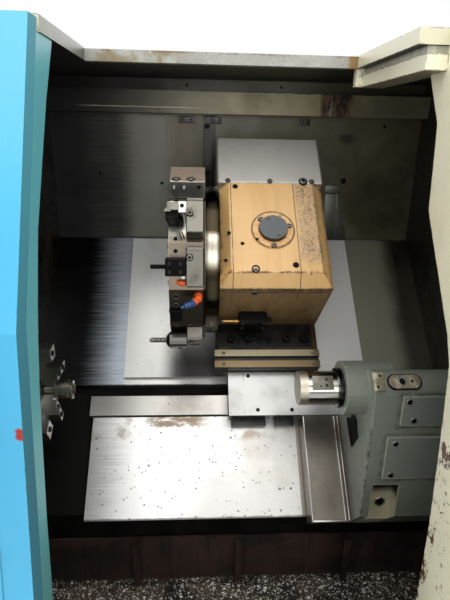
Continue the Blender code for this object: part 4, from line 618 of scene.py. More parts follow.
def tailstock_paint():
    """Grey-green enamel with yellow-brown dirt round the plates, a chipped corner, a left side painted
    lighter as painted light, and pale edges that are partly wear and partly painted highlight.
    """
    s = Shade("tailstock_paint", 0.34)
    x, y, z = s.axes(s.local())
    body = srgb(114, 119, 109)
    dirt = enamel(s, body, 0.42, srgb(72, 70, 56), 0.45, srgb(44, 36, 28), 0.5)
    ragged = s.noise(60, 5, 0.7)
    round_upper = s.times((x, 0.447, None, 0.004, 0.004, 60), (z, -0.054, 0.038, 0.004, 0.004, 60))
    round_lower = s.times((x, 0.423, None, 0.004, 0.004, 60), (z, -0.196, -0.066, 0.004, 0.004, 60))
    plate_front = -0.0975
    on_plate = s.within(y, plate_front, None, CRISP)
    halo = s.times(s.most(round_upper, round_lower), on_plate, s.step(ragged, 0.36, 0.60))
    s.coat(srgb(70, 68, 52), halo, 0.75)
    plate = s.within(y, None, plate_front, CRISP)
    s.coat(s.mix(ragged, srgb(100, 110, 106), srgb(122, 127, 117)), plate, 0.6)
    # Painted light: faces turned to -X are painted lighter, as if lit
    s.coat(srgb(158, 166, 154), s.facing((-1, 0, 0)), s.step(ragged, 0.25, 0.6, 0.95, 0.6))
    corner = s.times((x, None, 0.3965, 0.001, 0.002, 70), (z, None, -0.06, 0.01),
                     (y, None, -0.086, 0.002, 0.004, 60), s.step(ragged, 0.44, 0.54))
    # Pale edges: partly wear, partly a painted highlight
    s.coat(srgb(176, 180, 166), s.edges(0.003), s.step(ragged, 0.30, 0.48))
    s.coat(srgb(48, 38, 30), corner, 0.9)
    pocket = s.times((x, 0.412, 0.480, 0.002), (z, None, -0.200, 0.003), (y, -0.090, None, 0.002))
    s.coat(srgb(176, 168, 140), pocket, s.step(ragged, 0.30, 0.55, 0.5, 0.9))
    s.coat(srgb(15, 14, 11), pocket, s.step(s.shaken(z, 0.006, 40), -0.262, -0.236))
    low = s.times(s.step(s.shaken(z, 0.02, 20), -0.19, -0.28, 0, 0.25), s.calc("SUBTRACT", 1, pocket))
    s.coat(srgb(66, 64, 50), low)
    return s.finish(s.step(dirt, 0, 1, 0.28, 0.55))


def door_enamel():
    """Glossy cyan with a red chipped spot and dark pinholes near the door's inner edge."""
    s = Shade("door_enamel", 0.30)
    side = s.facing((1, 0, 0))
    x, y, z = s.axes(s.local())
    dirt = enamel(s, srgb(70, 168, 208), 0.02, srgb(70, 156, 190), 0.12, srgb(70, 130, 150), 0.2)
    chip = s.times((x, -0.2735, None, 0.002, 0.006, 90), (z, 0.122, 0.141, 0.002, 0.008, 90),
                   (y, None, -0.30, 0.01))
    s.coat(srgb(150, 44, 36), chip)
    s.coat(s.mix(s.step(z, 0.0, 0.6), srgb(44, 110, 126), srgb(66, 142, 158)), side)
    holes = s.times(s.dots(26, 0.09, 0.25), (z, None, 0.10, 0.05))
    s.coat(srgb(40, 66, 78), holes, 0.8)
    return s.finish(s.calc('ADD', s.step(dirt, 0, 1, 0.28, 0.4), s.times(side, 0.5)))


def jamb_enamel():
    """Teal jamb: lighter at the top, darker and greener towards the bottom, with rust along the door's seam.
    """
    s = Shade("jamb_enamel", 0.5, Specular_IOR_Level=0.25)
    _, y, z = s.axes(s.local())
    dirt = enamel(s, srgb(92, 168, 176), 0.12, srgb(70, 116, 108), 0.4, srgb(80, 74, 56))
    s.coat(srgb(86, 156, 160), s.step(z, 0.55, -0.1))
    s.coat(srgb(84, 124, 112), s.step(s.shaken(z, 0.03, 12), -0.02, -0.3, 0, 0.6))
    seam = s.times((y, None, -0.385, 0.004, 0.002, 50), s.step(s.noise(40, 4), 0.4, 0.6))
    s.coat(RUST, seam, 0.6)
    return s.finish(s.step(dirt, 0, 1, 0.45, 0.6))


def beam_metal():
    """Galvanised beam: bright spangle, brown rust at the left third and at its right end."""
    s = Shade("beam_metal", 0.46, 0.4)
    x, _, z = s.axes(s.local())
    flakes = s.add('ShaderNodeTexVoronoi', {"Vector": s.place, "Scale": 420})
    grain = s.axes(flakes.outputs["Color"])[0]
    s.base = s.mix(grain, srgb(138, 138, 130), srgb(158, 158, 150))
    cloud = s.noise(16, 5, 0.7)
    left = s.times((x, -0.262, -0.05, 0.04), s.step(cloud, 0.44, 0.58))
    s.coat(srgb(124, 106, 62), left, 0.65)
    right = s.times((x, 0.362, None, 0.006, 0.008, 40), s.step(cloud, 0.30, 0.52))
    s.coat(srgb(134, 102, 52), right, 0.9)
    top = s.times((z, 0.7455, None, 0.002, 0.002, 50), s.step(cloud, 0.46, 0.6))
    s.coat(srgb(110, 78, 48), top, 0.6)
    return s.finish(s.step(cloud, 0.3, 0.7, 0.34, 0.6))


def roof_paint():
    """Cream outside, grey-green in the notch at the left, nearly black below as painted shade."""
    s = Shade("roof_paint", 0.5)
    x, y, _ = s.axes(s.local())
    dirt = enamel(s, srgb(216, 212, 182), 0.16, srgb(110, 96, 64), 0.5, srgb(84, 56, 36))
    left = s.times((x, -0.268, -0.255, 0.002), (y, None, 0.246, 0.002), s.facing((1, 0, 0)))
    s.coat(s.mix(s.noise(20, 4), srgb(66, 72, 58), srgb(98, 103, 86)), left)
    # Painted shade: faces turned down are painted nearly black
    below = s.times(s.facing((0, 0, -1)), (x, -0.46, 0.73, 0.01))
    s.coat(srgb(30, 28, 22), below)
    return s.finish(s.step(dirt, 0, 1, 0.45, 0.7))


def inner_jamb_paint():
    """Cream of the right jamb and its channel: chipped front edge, worn corners, a channel web painted
    lighter as painted light, and painted shade on faces turned down.
    """
    s = Shade("inner_jamb_paint", 0.42)
    x, y, z = s.axes(s.local())
    dirt = enamel(s, srgb(238, 234, 206), 0.16, srgb(126, 110, 74), 0.75, srgb(70, 42, 26))
    front, back = 0.4415, 0.2495
    ragged = s.noise(45, 5, 0.75)
    chips = s.times(s.step(ragged, 0.60, 0.64), (x, None, front, 0.001), (z, None, 0.08, 0.05))
    s.coat(srgb(88, 52, 34), chips)
    large = s.step(s.noise(24, 5, 0.75), 0.51, 0.55)
    band = s.times((y, -0.344, -0.304, 0.004), (z, -0.008, 0.092, 0.008))
    rim = s.times((y, -0.3345, None, 0.003, 0.006, 30), (z, -0.32, -0.07, 0.02))
    s.coat(srgb(86, 58, 42), large, s.most(band, rim), (x, None, front, 0.001))
    # Painted light: the channel's web, deep in shade, is painted pale cream
    web = s.times((z, 0.7115, 0.7245, 0.0006), (y, None, back, CRISP))
    s.coat(srgb(224, 221, 196), web)
    # Painted shade: faces turned down are painted darker
    below = s.facing((0, 0, -1))
    s.coat(srgb(96, 90, 68), below, 0.8)
    end = s.times((y, back, None, CRISP), s.step(ragged, 0.52, 0.60))
    s.coat(srgb(104, 88, 56), end, 0.6)
    return s.finish(s.step(dirt, 0, 1, 0.38, 0.6))


def block_metal():
    """The empty tool block: oily pinkish top, dark grey front."""
    s = Shade("block_metal", 0.42, 0.5)
    marks = s.lines(s.at((30, 30, 700)), 3, 0.6)
    top = s.facing(tuple(station(60).to_3x3() @ Vector((0, 0, 1))))
    film = s.step(s.noise(24, 5, 0.65), 0.40, 0.70)
    s.base = s.mix(top, s.mix(marks, srgb(62, 64, 62), srgb(96, 97, 92)),
                   s.mix(marks, srgb(142, 124, 108), srgb(178, 160, 142)))
    s.coat(srgb(70, 58, 46), film, 0.45)
    s.coat(srgb(226, 222, 212), s.edges(0.0015), 0.7)
    s.bump(marks, 0.0002, 0.15)
    return s.finish(s.step(film, 0, 1, 0.36, 0.55))


def bed_paint(name="bed_paint"):
    """Black, dull with oil, hardly reflecting: castings of the bed and the floors of holes."""
    s = Shade(name, 0.65, Specular_IOR_Level=0.12)
    cloud = s.noise(14, 5, 0.65)
    s.base = s.mix(s.step(cloud, 0.4, 0.75), srgb(5, 5, 4), srgb(20, 18, 16))
    s.bump(cloud, 0.001, 0.3)
    return s.finish(s.step(cloud, 0.3, 0.7, 0.5, 0.8))


def bulkhead_paint(name, low, high):
    """A dark end wall, wet with oil, with vertical runs."""
    s = Shade(name, 0.30)
    runs = s.lines(s.at((40, 40, 3)), 4, 0.6)
    cloud = s.noise(6, 5, 0.65)
    s.base = s.mix(s.times(s.step(runs, 0.4, 0.66), s.step(cloud, 0.3, 0.7)), low, high)
    s.bump(cloud, 0.001, 0.2)
    return s.finish(s.step(cloud, 0.3, 0.7, 0.22, 0.5))


def top_cover_metal():
    """Galvanised upper cover of the housing: grey with brown dirt along its lower edge."""
    s = Shade("top_cover_metal", 0.40, 0.25)
    x, u, _ = s.axes(s.slope())
    brushed(s, srgb(182, 180, 172), s.slope((3, 500, 500)), 0.05)
    cloud = s.noise(9, 6, 0.65)
    s.coat(srgb(150, 147, 134), s.step(cloud, 0.46, 0.75, 0, 0.5))
    low = s.times((u, None, 0.5435, 0.0015, 0.003, 40), s.step(s.noise(60, 4, 0.7), 0.25, 0.5))
    s.coat(srgb(104, 64, 38), low, 0.85)
    rim = s.most((x, 0.337, None, 0.002, 0.003, 40), (x, None, 0.058, 0.002, 0.003, 40))
    s.coat(srgb(90, 82, 70), rim, 0.5)
    return s.finish(s.step(cloud, 0.3, 0.7, 0.30, 0.48))


def wiper_metal():
    """Pale wiper strip over an orange-brown seal."""
    s = Shade("wiper_metal", 0.4, 0.3)
    x, u, n = s.axes(s.slope())
    cloud = s.lines(s.slope((12, 60, 60)), 5, 0.65)
    pale = s.mix(cloud, srgb(130, 118, 90), srgb(182, 172, 138))
    seal = s.mix(cloud, srgb(102, 82, 49), srgb(160, 135, 90))
    s.base = s.mix((u, None, 0.138, 0.004), pale, seal)
    s.coat(srgb(78, 56, 34), (x, 0.330, None, 0.006, 0.012, 40), 0.8)
    s.coat(srgb(30, 24, 18), (n, None, -0.1695, 0.0006))
    return s.finish(s.step(cloud, 0.3, 0.7, 0.32, 0.5))


def flange_metal():
    """Black oily casting of the cross slide, brown where it meets the wiper."""
    s = Shade("flange_metal", 0.34, 0.1, Specular_IOR_Level=0.2)
    x, _, _ = s.axes(s.slope())
    cloud = s.noise(24, 5, 0.7)
    s.base = s.mix(s.step(cloud, 0.45, 0.75), srgb(11, 10, 10), srgb(36, 30, 24))
    edge = s.times(s.edges(0.002), s.step(cloud, 0.40, 0.55))
    s.coat(srgb(150, 124, 88), edge)
    s.coat(srgb(74, 52, 32), (x, 0.328, None, 0.005, 0.012, 40), 0.8)
    s.bump(cloud, 0.0006, 0.4)
    return s.finish(s.step(cloud, 0.3, 0.7, 0.22, 0.5))


def quill_metal():
    """Cream-stained end, chromed barrel and dark locking ring."""
    s = Shade("quill_metal", 0.12, 1.0)
    x, _, _ = s.axes(s.local())
    lines = s.lines(s.at((900, 3, 3)), 2, 0.5)
    s.base = s.mix(lines, srgb(120, 118, 114), srgb(196, 194, 190))
    end = s.within(x, None, 0.2595, 0.001)
    s.coat(s.mix(s.noise(70, 4), srgb(166, 160, 144), srgb(194, 189, 173)), end)
    ring = s.within(x, 0.3295, 0.3420, 0.0004)
    s.coat(srgb(42, 41, 40), ring)
    return s.finish(s.step(x, 0.2585, 0.2605, 0.42, 0.14))


def cap_metal():
    """Sand-coloured ring round a dark blue-grey brushed disc."""
    s = Shade("cap_metal", 0.3, 0.6)
    x, u, _ = s.axes(s.slope())
    radius = s.away(x, u, (0.195, 0.392))
    grain = s.noise(90, 5, 0.7)
    sand = s.mix(s.step(grain, 0.35, 0.7), srgb(218, 172, 108), srgb(168, 118, 62))
    lines = s.lines(s.slope((600, 8, 8)), 3, 0.6)
    disc = s.mix(lines, srgb(30, 34, 36), srgb(62, 66, 67))
    s.base = s.mix(s.step(radius, 0.0358, 0.0366), disc, sand)
    groove = s.most((radius, 0.0530, 0.0562, CRISP), (radius, 0.0362, 0.0380, CRISP))
    s.coat(srgb(40, 26, 16), groove, s.step(grain, 0.2, 0.5, 0.7, 1))
    return s.finish(s.step(radius, 0.035, 0.037, 0.24, 0.45), s.step(radius, 0.035, 0.037, 0.35, 0.0))


CREAM = srgb(216, 212, 182)
MATERIALS = {
    "teal_paint": paint("teal_paint", srgb(96, 164, 164), 0.2, (0.10, 0.11, 0.07), 0.3),
    "cream_paint": paint("cream_paint", CREAM, 0.14, srgb(126, 110, 74), 0.4),
    "dark_paint": paint("dark_paint", srgb(40, 36, 31), 0.5, srgb(64, 40, 28), 0.2, 0.35),
    "stainless": sheet("stainless", srgb(176, 176, 172), 0.28, True, 0.2),
    "machined_steel": machined("machined_steel", srgb(190, 188, 182)),
    "blackened_steel": machined("blackened_steel", srgb(27, 27, 27), 0.42, 0.1, edge=0.2),
    "cast_iron": cast("cast_iron", srgb(92, 92, 89)),
    "rubber": plastic("rubber", srgb(30, 30, 30), 0.7),
    "window_glass": clear_glass("window_glass"),
    "red_plastic": plastic("red_plastic", srgb(200, 34, 26), 0.35),
    "orange_plastic": plastic("orange_plastic", srgb(240, 96, 30), 0.4),
    "blue_plastic": plastic("blue_plastic", srgb(30, 70, 120), 0.4),
    "brass": machined("brass", srgb(186, 140, 78), 0.3, 0.3),
    "screen_glass": plastic("screen_glass", srgb(20, 24, 27), 0.12),
    "key_plastic": plastic("key_plastic", srgb(186, 188, 184), 0.5),
    "dark_key_plastic": plastic("dark_key_plastic", srgb(66, 70, 72), 0.5),
    "bore_black": bed_paint("bore_black"),
}
ROUGH_JAW = machined("jaw_metal", srgb(150, 147, 138), 0.30, 0.35, (40, 40, 600), 0.9, srgb(72, 60, 50))
SURFACES = {
    "slant_cover": fixed_cover_metal(),
    "way_cover": way_cover_metal("way_cover_metal", srgb(232, 231, 226), 0.25, (0.60, 0.70), OLIVE,
                                 (-0.085, 0.10, 0.92)),
    "way_cover_right": way_cover_metal("second_cover_metal", srgb(150, 149, 130), 0.25, (0.60, 0.66),
                                       srgb(70, 68, 56)),
    "rear_chamber_wall": rear_wall_metal(),
    "lower_cover": lower_cover_metal(),
    "tailstock_guide": bright_cover_metal("guide_metal", srgb(180, 177, 170), 0.35),
    "tailstock_base": bright_cover_metal("base_metal", srgb(166, 166, 163), 0.22, True),
    "turret_housing": housing_paint(),
    "housing_cap": cap_metal(),
    "housing_top_cover": top_cover_metal(),
    "turret_drum": drum_metal(),
    "cross_slide": flange_metal(),
    "slide_wiper": wiper_metal(),
    "chip_pan": pan_paint(),
    "tailstock_body": tailstock_paint(),
    "quill": quill_metal(),
    "door_leaf": door_enamel(),
    "left_jamb": jamb_enamel(),
    "right_jamb": inner_jamb_paint(),
    "header_beam": beam_metal(),
    "roof_cover": roof_paint(),
    "left_bulkhead": bulkhead_paint("left_wall_paint", srgb(14, 12, 10), srgb(58, 44, 34)),
    "right_bulkhead": bulkhead_paint("right_wall_paint", srgb(22, 21, 17), srgb(54, 52, 40)),
    "chuck_body": machined("chuck_metal", srgb(52, 50, 47), 0.24, 0.6, (900, 30, 30), 0.8, OIL_AND_SHADOW),
    "tool_block": block_metal(),
    "slant_bed": bed_paint(),
    "turning_tool": machined("tool_black", srgb(15, 15, 15), 0.45, 0.2, edge=0.25),
    "boring_holder": machined("holder_black", srgb(17, 17, 17), 0.45, 0.2, edge=0.25),
    "workpiece": machined("workpiece_metal", srgb(212, 206, 188), 0.25, 0.7, (700, 60, 60), 0.6,
                          srgb(34, 32, 27)),
    "drill_holder": machined("drill_metal", srgb(112, 111, 106), 0.36, 0.4, (30, 400, 400), 0.7,
                             srgb(40, 36, 30)),
    "clamp_plate_1": machined("plate_metal", srgb(112, 109, 101), 0.46, 0.35, (30, 600, 600), 0.8,
                              srgb(66, 57, 44)),
}
SURFACES.update({f"chuck_jaw_{number}": ROUGH_JAW for number in (1, 2, 3)})
SURFACES.update({f"clamp_plate_{number}": SURFACES["clamp_plate_1"] for number in (2, 3)})
SLOT_OF = {row["node"]: row["material_slot"] for row in frame["record"]["subparts"]}


def dress_nodes():
    for name, node in NODES.items():
        node.data.materials.clear()
        node.data.materials.append(SURFACES.get(name) or MATERIALS[SLOT_OF[name]])


# Pieces
class Maker:
    """Collects small forms of one material in one mesh. Every place is a matrix with Z outwards."""

    def __init__(self):
        self.mesh = bmesh.new()

    def turned(self, place, profile, count=20, closed=False):
        """A revolved form; a profile row (radius, height, True) is drawn as a hexagon."""
        rings = []
        for radius, height, *hexed in profile:
            ring = []
            for k in range(count):
                angle = 2 * math.pi * k / count
                reach = radius
                if hexed:
                    reach *= math.cos(math.pi / 6) / math.cos(angle % (math.pi / 3) - math.pi / 6)
                ring.append(self.mesh.verts.new(place @ Vector((*circle(reach, angle), height))))
            rings.append(ring)
        pairs = list(zip(rings, rings[1:]))
        if closed:
            pairs.append((rings[-1], rings[0]))
        for low, high in pairs:
            for k in range(count):
                self.mesh.faces.new((low[k], low[k - 1], high[k - 1], high[k]))
        if not closed:
            self.mesh.faces.new(rings[0])
            self.mesh.faces.new(list(reversed(rings[-1])))

    def cap_screw(self, place, radius=0.006, height=0.006):
        """A socket head with a chamfer and its hexagon socket."""
        self.turned(place, [(radius, -SUNK), (radius, height * 0.85), (radius * 0.9, height),
                            (radius * 0.56, height, True), (radius * 0.52, height * 0.35, True)], 24)

    def ringed_screw(self, place, head, socket, radius=0.006, height=0.004):
        """A bright head in a dark countersink with a dark socket: three materials, so three makers."""
        self.ring(place, radius, radius * 1.32, height * 0.25)
        head.turned(place, [(radius, -SUNK), (radius, height * 0.85), (radius * 0.88, height),
                            (radius * 0.5, height)], 24)
        socket.turned(place, [(radius * 0.62, height * 0.6, True), (radius * 0.58, height * 1.01, True)], 24)

    def hex_bolt(self, place, radius=0.008, height=0.005):
        """A hexagon head on its washer."""
        self.turned(place, [(radius * 1.35, -SUNK), (radius * 1.35, height * 0.25),
                            (radius, height * 0.25, True), (radius, height, True),
                            (radius * 0.78, height * 1.08)], 24)

    def pan_screw(self, place, radius=0.005, height=0.003):
        self.turned(place, [(radius, -SUNK), (radius, height * 0.3), (radius * 0.78, height * 0.75),
                            (radius * 0.4, height), (radius * 0.34, height * 0.55)], 16)

    def hole(self, place, radius=0.004):
        """The countersunk rim and dark floor of a tapped hole."""
        self.turned(place, [(radius, -SUNK), (radius, SUNK), (radius * 0.8, SUNK), (radius * 0.72, 0.0001)],
                    16)

    def ring(self, place, inner, outer, height):
        bevel = min(height, outer - inner) * 0.25
        self.turned(place, [(outer, -SUNK), (outer, height - bevel), (outer - bevel, height),
                            (inner + bevel, height), (inner, height - bevel), (inner, -SUNK)], 32, True)

    def slab(self, place, size, bevel=0.0015, low=-SUNK):
        """A bevelled block: size across X and Y, and from low up to its height."""
        wide, deep, high = size
        shift = Matrix.Translation((0, 0, (low + high) / 2)) @ Matrix.Diagonal((wide, deep, high - low, 1))
        made = bmesh.ops.create_cube(self.mesh, size=1, matrix=place @ shift)
        edges = list({edge for vert in made["verts"] for edge in vert.link_edges})
        bmesh.ops.bevel(self.mesh, geom=edges, offset=min(bevel, wide / 3, deep / 3, (high - low) / 3),
                        segments=2, affect='EDGES', profile=BEVEL_PROFILE)

    def prism(self, place, outline, low, high, bevel=0.0):
        """An outline in X and Y, from low to high."""
        base = [self.mesh.verts.new(place @ Vector((x, y, low))) for x, y in outline]
        top = [self.mesh.verts.new(place @ Vector((x, y, high))) for x, y in outline]
        faces = [self.mesh.faces.new(list(reversed(base))), self.mesh.faces.new(top)]
        for k in range(len(base)):
            faces.append(self.mesh.faces.new((base[k - 1], base[k], top[k], top[k - 1])))
        if bevel:
            edges = list({edge for face in faces for edge in face.edges})
            bmesh.ops.bevel(self.mesh, geom=edges, offset=bevel, segments=2, affect='EDGES',
                            profile=BEVEL_PROFILE)

    def frame(self, place, outer, inner, height, bevel=0.001):
        """A flat rectangular border, sizes as half widths."""
        corners = [(-1, -1), (1, -1), (1, 1), (-1, 1)]
        loops = []
        for (wide, deep), level in ((outer, -SUNK), (outer, height - bevel),
                                    ((outer[0] - bevel, outer[1] - bevel), height),
                                    ((inner[0] + bevel, inner[1] + bevel), height), (inner, height - bevel),
                                    (inner, -SUNK)):
            loops.append([self.mesh.verts.new(place @ Vector((sx * wide, sy * deep, level))) for sx,
                          sy in corners])
        for low, high in list(zip(loops, loops[1:])) + [(loops[-1], loops[0])]:
            for k in range(4):
                self.mesh.faces.new((low[k - 1], low[k], high[k], high[k - 1]))

    def tube(self, points, radius, count=12):
        """A round tube along points; radius may be a list, one for each point."""
        points = [Vector(p) for p in points]
        radii = radius if isinstance(radius, (list, tuple)) else [radius] * len(points)
        side = None
        rings = []
        for k, point in enumerate(points):
            ahead = (points[min(k + 1, len(points) - 1)] - points[max(k - 1, 0)]).normalized()
            if side is None:
                side = ahead.orthogonal().normalized()
            side = (side - ahead * side.dot(ahead)).normalized()
            other = ahead.cross(side)
            rings.append([self.mesh.verts.new(point + radii[k] * (math.cos(a) * side + math.sin(a) * other))
                          for a in (2 * math.pi * j / count for j in range(count))])
        for low, high in zip(rings, rings[1:]):
            for k in range(count):
                self.mesh.faces.new((low[k - 1], low[k], high[k], high[k - 1]))
        self.mesh.faces.new(list(reversed(rings[0])))
        self.mesh.faces.new(rings[-1])

    def make(self, name, body, slot, material=None, stands_for=()):
        """Closes the mesh into one object that rides on a body."""
        bmesh.ops.recalc_face_normals(self.mesh, faces=self.mesh.faces)
        mesh = bpy.data.meshes.new(name)
        self.mesh.to_mesh(mesh)
        self.mesh.free()
        mesh.shade_smooth()
        mesh.set_sharp_from_angle(angle=CREASE)
        mesh.materials.append(material or MATERIALS[slot])
        piece = bpy.data.objects.new(name, mesh)
        scene.collection.objects.link(piece)
        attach(piece, body)
        if stands_for:
            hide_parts(*stands_for)
        return piece


def turret_details():
    """Screws, holes, tool shanks and nozzles that turn with the turret."""
    steel, bright, black, dark, orange, blue = (Maker() for _ in range(6))
    # Empty tool block: screws and a hole in its front, ringed screws in its top
    for x in (-0.053, -0.030):
        bright.cap_screw(station(60, x, -0.040, 0.230) @ TO_FRONT, 0.0045, 0.006)
    dark.hole(station(60, 0.004, -0.040, 0.230) @ TO_FRONT, 0.0045)
    for x in (-0.048, -0.014):
        black.ring(station(60, x, -0.029, BLOCK_TOP), 0.0078, 0.0100, 0.0010)
        steel.cap_screw(station(60, x, -0.029, BLOCK_TOP), 0.0074, 0.003)
    # Clamp plates
    for angle, along in ((90, 0.003), (120, 0.022)):
        dark.ringed_screw(station(angle, -0.016, along, PLATE_TOP), steel, dark, 0.0062)
        black.slab(station(angle, -0.0045, -0.0435, PLATE_TOP), (0.034, 0.002, 0.0012), 0.0004)
    for angle in (90, 120, 180):
        steel.slab(station(angle, -0.0045, 0.040, PLATE_TOP), (0.036, 0.004, 0.0025), 0.001)
    for x in (0.002, -0.012):
        dark.hole(station(180, x, 0.030, PLATE_TOP), 0.0035)
    steel.cap_screw(station(180, -0.012, 0.012, PLATE_TOP), 0.0068, 0.0035)
    dark.slab(station(180, -0.004, -0.010, PLATE_TOP), (0.022, 0.006, 0.0008), 0.0003)
    # Holes between the tools
    for angle, x, along in ((90, -0.048, -0.045), (120, -0.048, 0.034), (150, -0.048, 0.034),
                            (150, -0.048, 0.008), (180, -0.049, 0.046), (180, -0.016, 0.047),
                            (60, -0.048, -0.049), *((angle, -0.048, 0.0)
                                                    for angle in (30, 0, 330, 300, 270, 240))):
        dark.hole(station(angle, x, along), 0.0048)
        steel.ring(station(angle, x, along), 0.0050, 0.0064, 0.0008)
    for angle in (30, 0, 330, 300, 270, 240, 210):
        for x in (-0.020, 0.008):
            for along in (-0.03, 0.03):
                dark.hole(station(angle, x, along), 0.004)
    # Turning tool: its holder block, insert and coolant rods
    steel.slab(station(90, -0.0540, 0.0135, 0.2), (0.026, 0.021, 0.046), 0.002)
    bright.slab(station(90, -0.0335, 0.0135, 0.2), (0.016, 0.029, 0.042), 0.002)
    black.cap_screw(station(90, -0.0335, 0.016, 0.241), 0.005, 0.003)
    steel.prism(station(90, -0.066, 0.004, 0.2405), [(-0.007, -0.004), (0.007, -0.004), (0.007, 0.004),
                                                     (-0.003, 0.004)], 0, 0.004)
    for shift in (0.0, 0.006):
        rod = ((-0.048, -0.014, 0.1995), (-0.048, -0.020, 0.213), (-0.040, -0.038, 0.220),
               (-0.034, -0.044, 0.1998))
        bright.tube([station(90, x + shift, along, radius).translation for x, along, radius in rod], 0.0016,
                    8)
    # Boring holder: screws across its top, and the stained block behind it
    for x in (-0.060, -0.036):
        for along in (0.008, -0.010):
            black.cap_screw(station(120, x, along, BORING_TOP), 0.0045, 0.003)
    dark.slab(station(120, -0.048, -0.001, BORING_TOP), (0.040, 0.0018, 0.0006), 0.0002)
    steel.slab(station(120, -0.0290, 0.002), (0.011, 0.026, 0.016), 0.002)
    bright.slab(station(120, -0.0300, -0.022), (0.012, 0.014, 0.012), 0.002)
    # Wedges that hold the tools
    black.slab(station(150, -0.048, -0.016), (0.026, 0.034, 0.013), 0.003)
    black.cap_screw(station(150, -0.048, -0.016, 0.213), 0.006, 0.003)
    black.slab(station(180, -0.050, -0.034), (0.028, 0.030, 0.020), 0.003)
    black.cap_screw(station(180, -0.050, -0.034, 0.220), 0.006, 0.003)
    # Drill flutes: two ribs wound round the drill
    for start in (0, math.pi):
        points = []
        for k in range(25):
            angle = start + k * 0.42
            spread = 0.0052 if k < 22 else 0.0052 - 0.0012 * (k - 21)
            base = station(180, -0.0765 - 0.0015 * k, 0, 0.2215)
            points.append(base @ Vector((0, *circle(spread, angle))))
        black.tube(points, 0.0015, 6)
    # Set screw of the drill holder
    black.cap_screw(station(180, -0.040, 0, 0.2415), 0.004, 0.002)
    # Jointed nozzle: an orange ball joint, blue links and a narrow tip
    route = [Vector(p) for p in ((0.003, 0.036, 0.200), (0.003, 0.036, 0.212), (-0.009, 0.033, 0.224),
                                 (-0.036, 0.026, 0.232))]
    links = [(0, 1, 0.25), (0, 1, 0.95), (1, 2, 0.55), (1, 2, 1.0), (2, 3, 0.28), (2, 3, 0.55)]
    for number, (a, b, share) in enumerate(links):
        axis = (route[b] - route[a]).to_track_quat('Z', 'Y').to_matrix().to_4x4()
        place = moved(station(150, 0, 0, 0), *route[a].lerp(route[b], share)) @ axis
        size = 0.0104 - 0.0006 * number
        maker = orange if number < 3 else blue
        maker.turned(place, [(size * 0.55, -size * 0.75), (size * 0.8, -size * 0.6), (size, -size * 0.1),
                             (size * 0.95, size * 0.3), (size * 0.62, size * 0.7)], 20)
    blue.tube([station(150, 0, 0, 0) @ point for point in route], [0.0058, 0.0055, 0.0048, 0.0030], 14)
    # Small nozzles beside the second plate and under the drill
    place = station(120, -0.031, -0.0375)
    orange.turned(place, [(0.0070, -SUNK), (0.0085, 0.004), (0.0085, 0.009), (0.0060, 0.013)], 20)
    orange.tube([place @ Vector(p) for p in ((0.004, 0, 0.008), (-0.006, 0.001, 0.010),
                                             (-0.015, 0.002, 0.010))], [0.0075, 0.0066, 0.0036], 14)
    place = station(210, -0.008, 0.038)
    orange.turned(place, [(0.007, -SUNK), (0.008, 0.003), (0.007, 0.008), (0.0035, 0.011)], 18)
    orange.tube([place @ Vector(p) for p in ((0, 0, 0.006), (-0.004, 0.005, 0.011), (-0.010, 0.014, 0.013))],
                [0.0050, 0.0044, 0.0028], 12)
    # Locking bolts in the turret's left face
    for k in range(12):
        angle = math.radians(30 * k + 20)
        face = moved(TURRET, -0.064, *circle(0.165, angle)) @ TO_LEFT
        black.cap_screw(face, 0.006, 0.004)
    steel.make("turret_tool_fittings", "turret", "machined_steel", SURFACES["clamp_plate_1"])
    bright.make("turret_bright_fittings", "turret", "machined_steel")
    black.make("turret_screws", "turret", "blackened_steel")
    dark.make("turret_holes", "turret", "blackened_steel", MATERIALS["bore_black"])
    blue.make("nozzle_links", "turret", "orange_plastic", MATERIALS["blue_plastic"])
    orange.make("nozzle_joints", "turret", "orange_plastic", stands_for=("coolant_nozzle",))


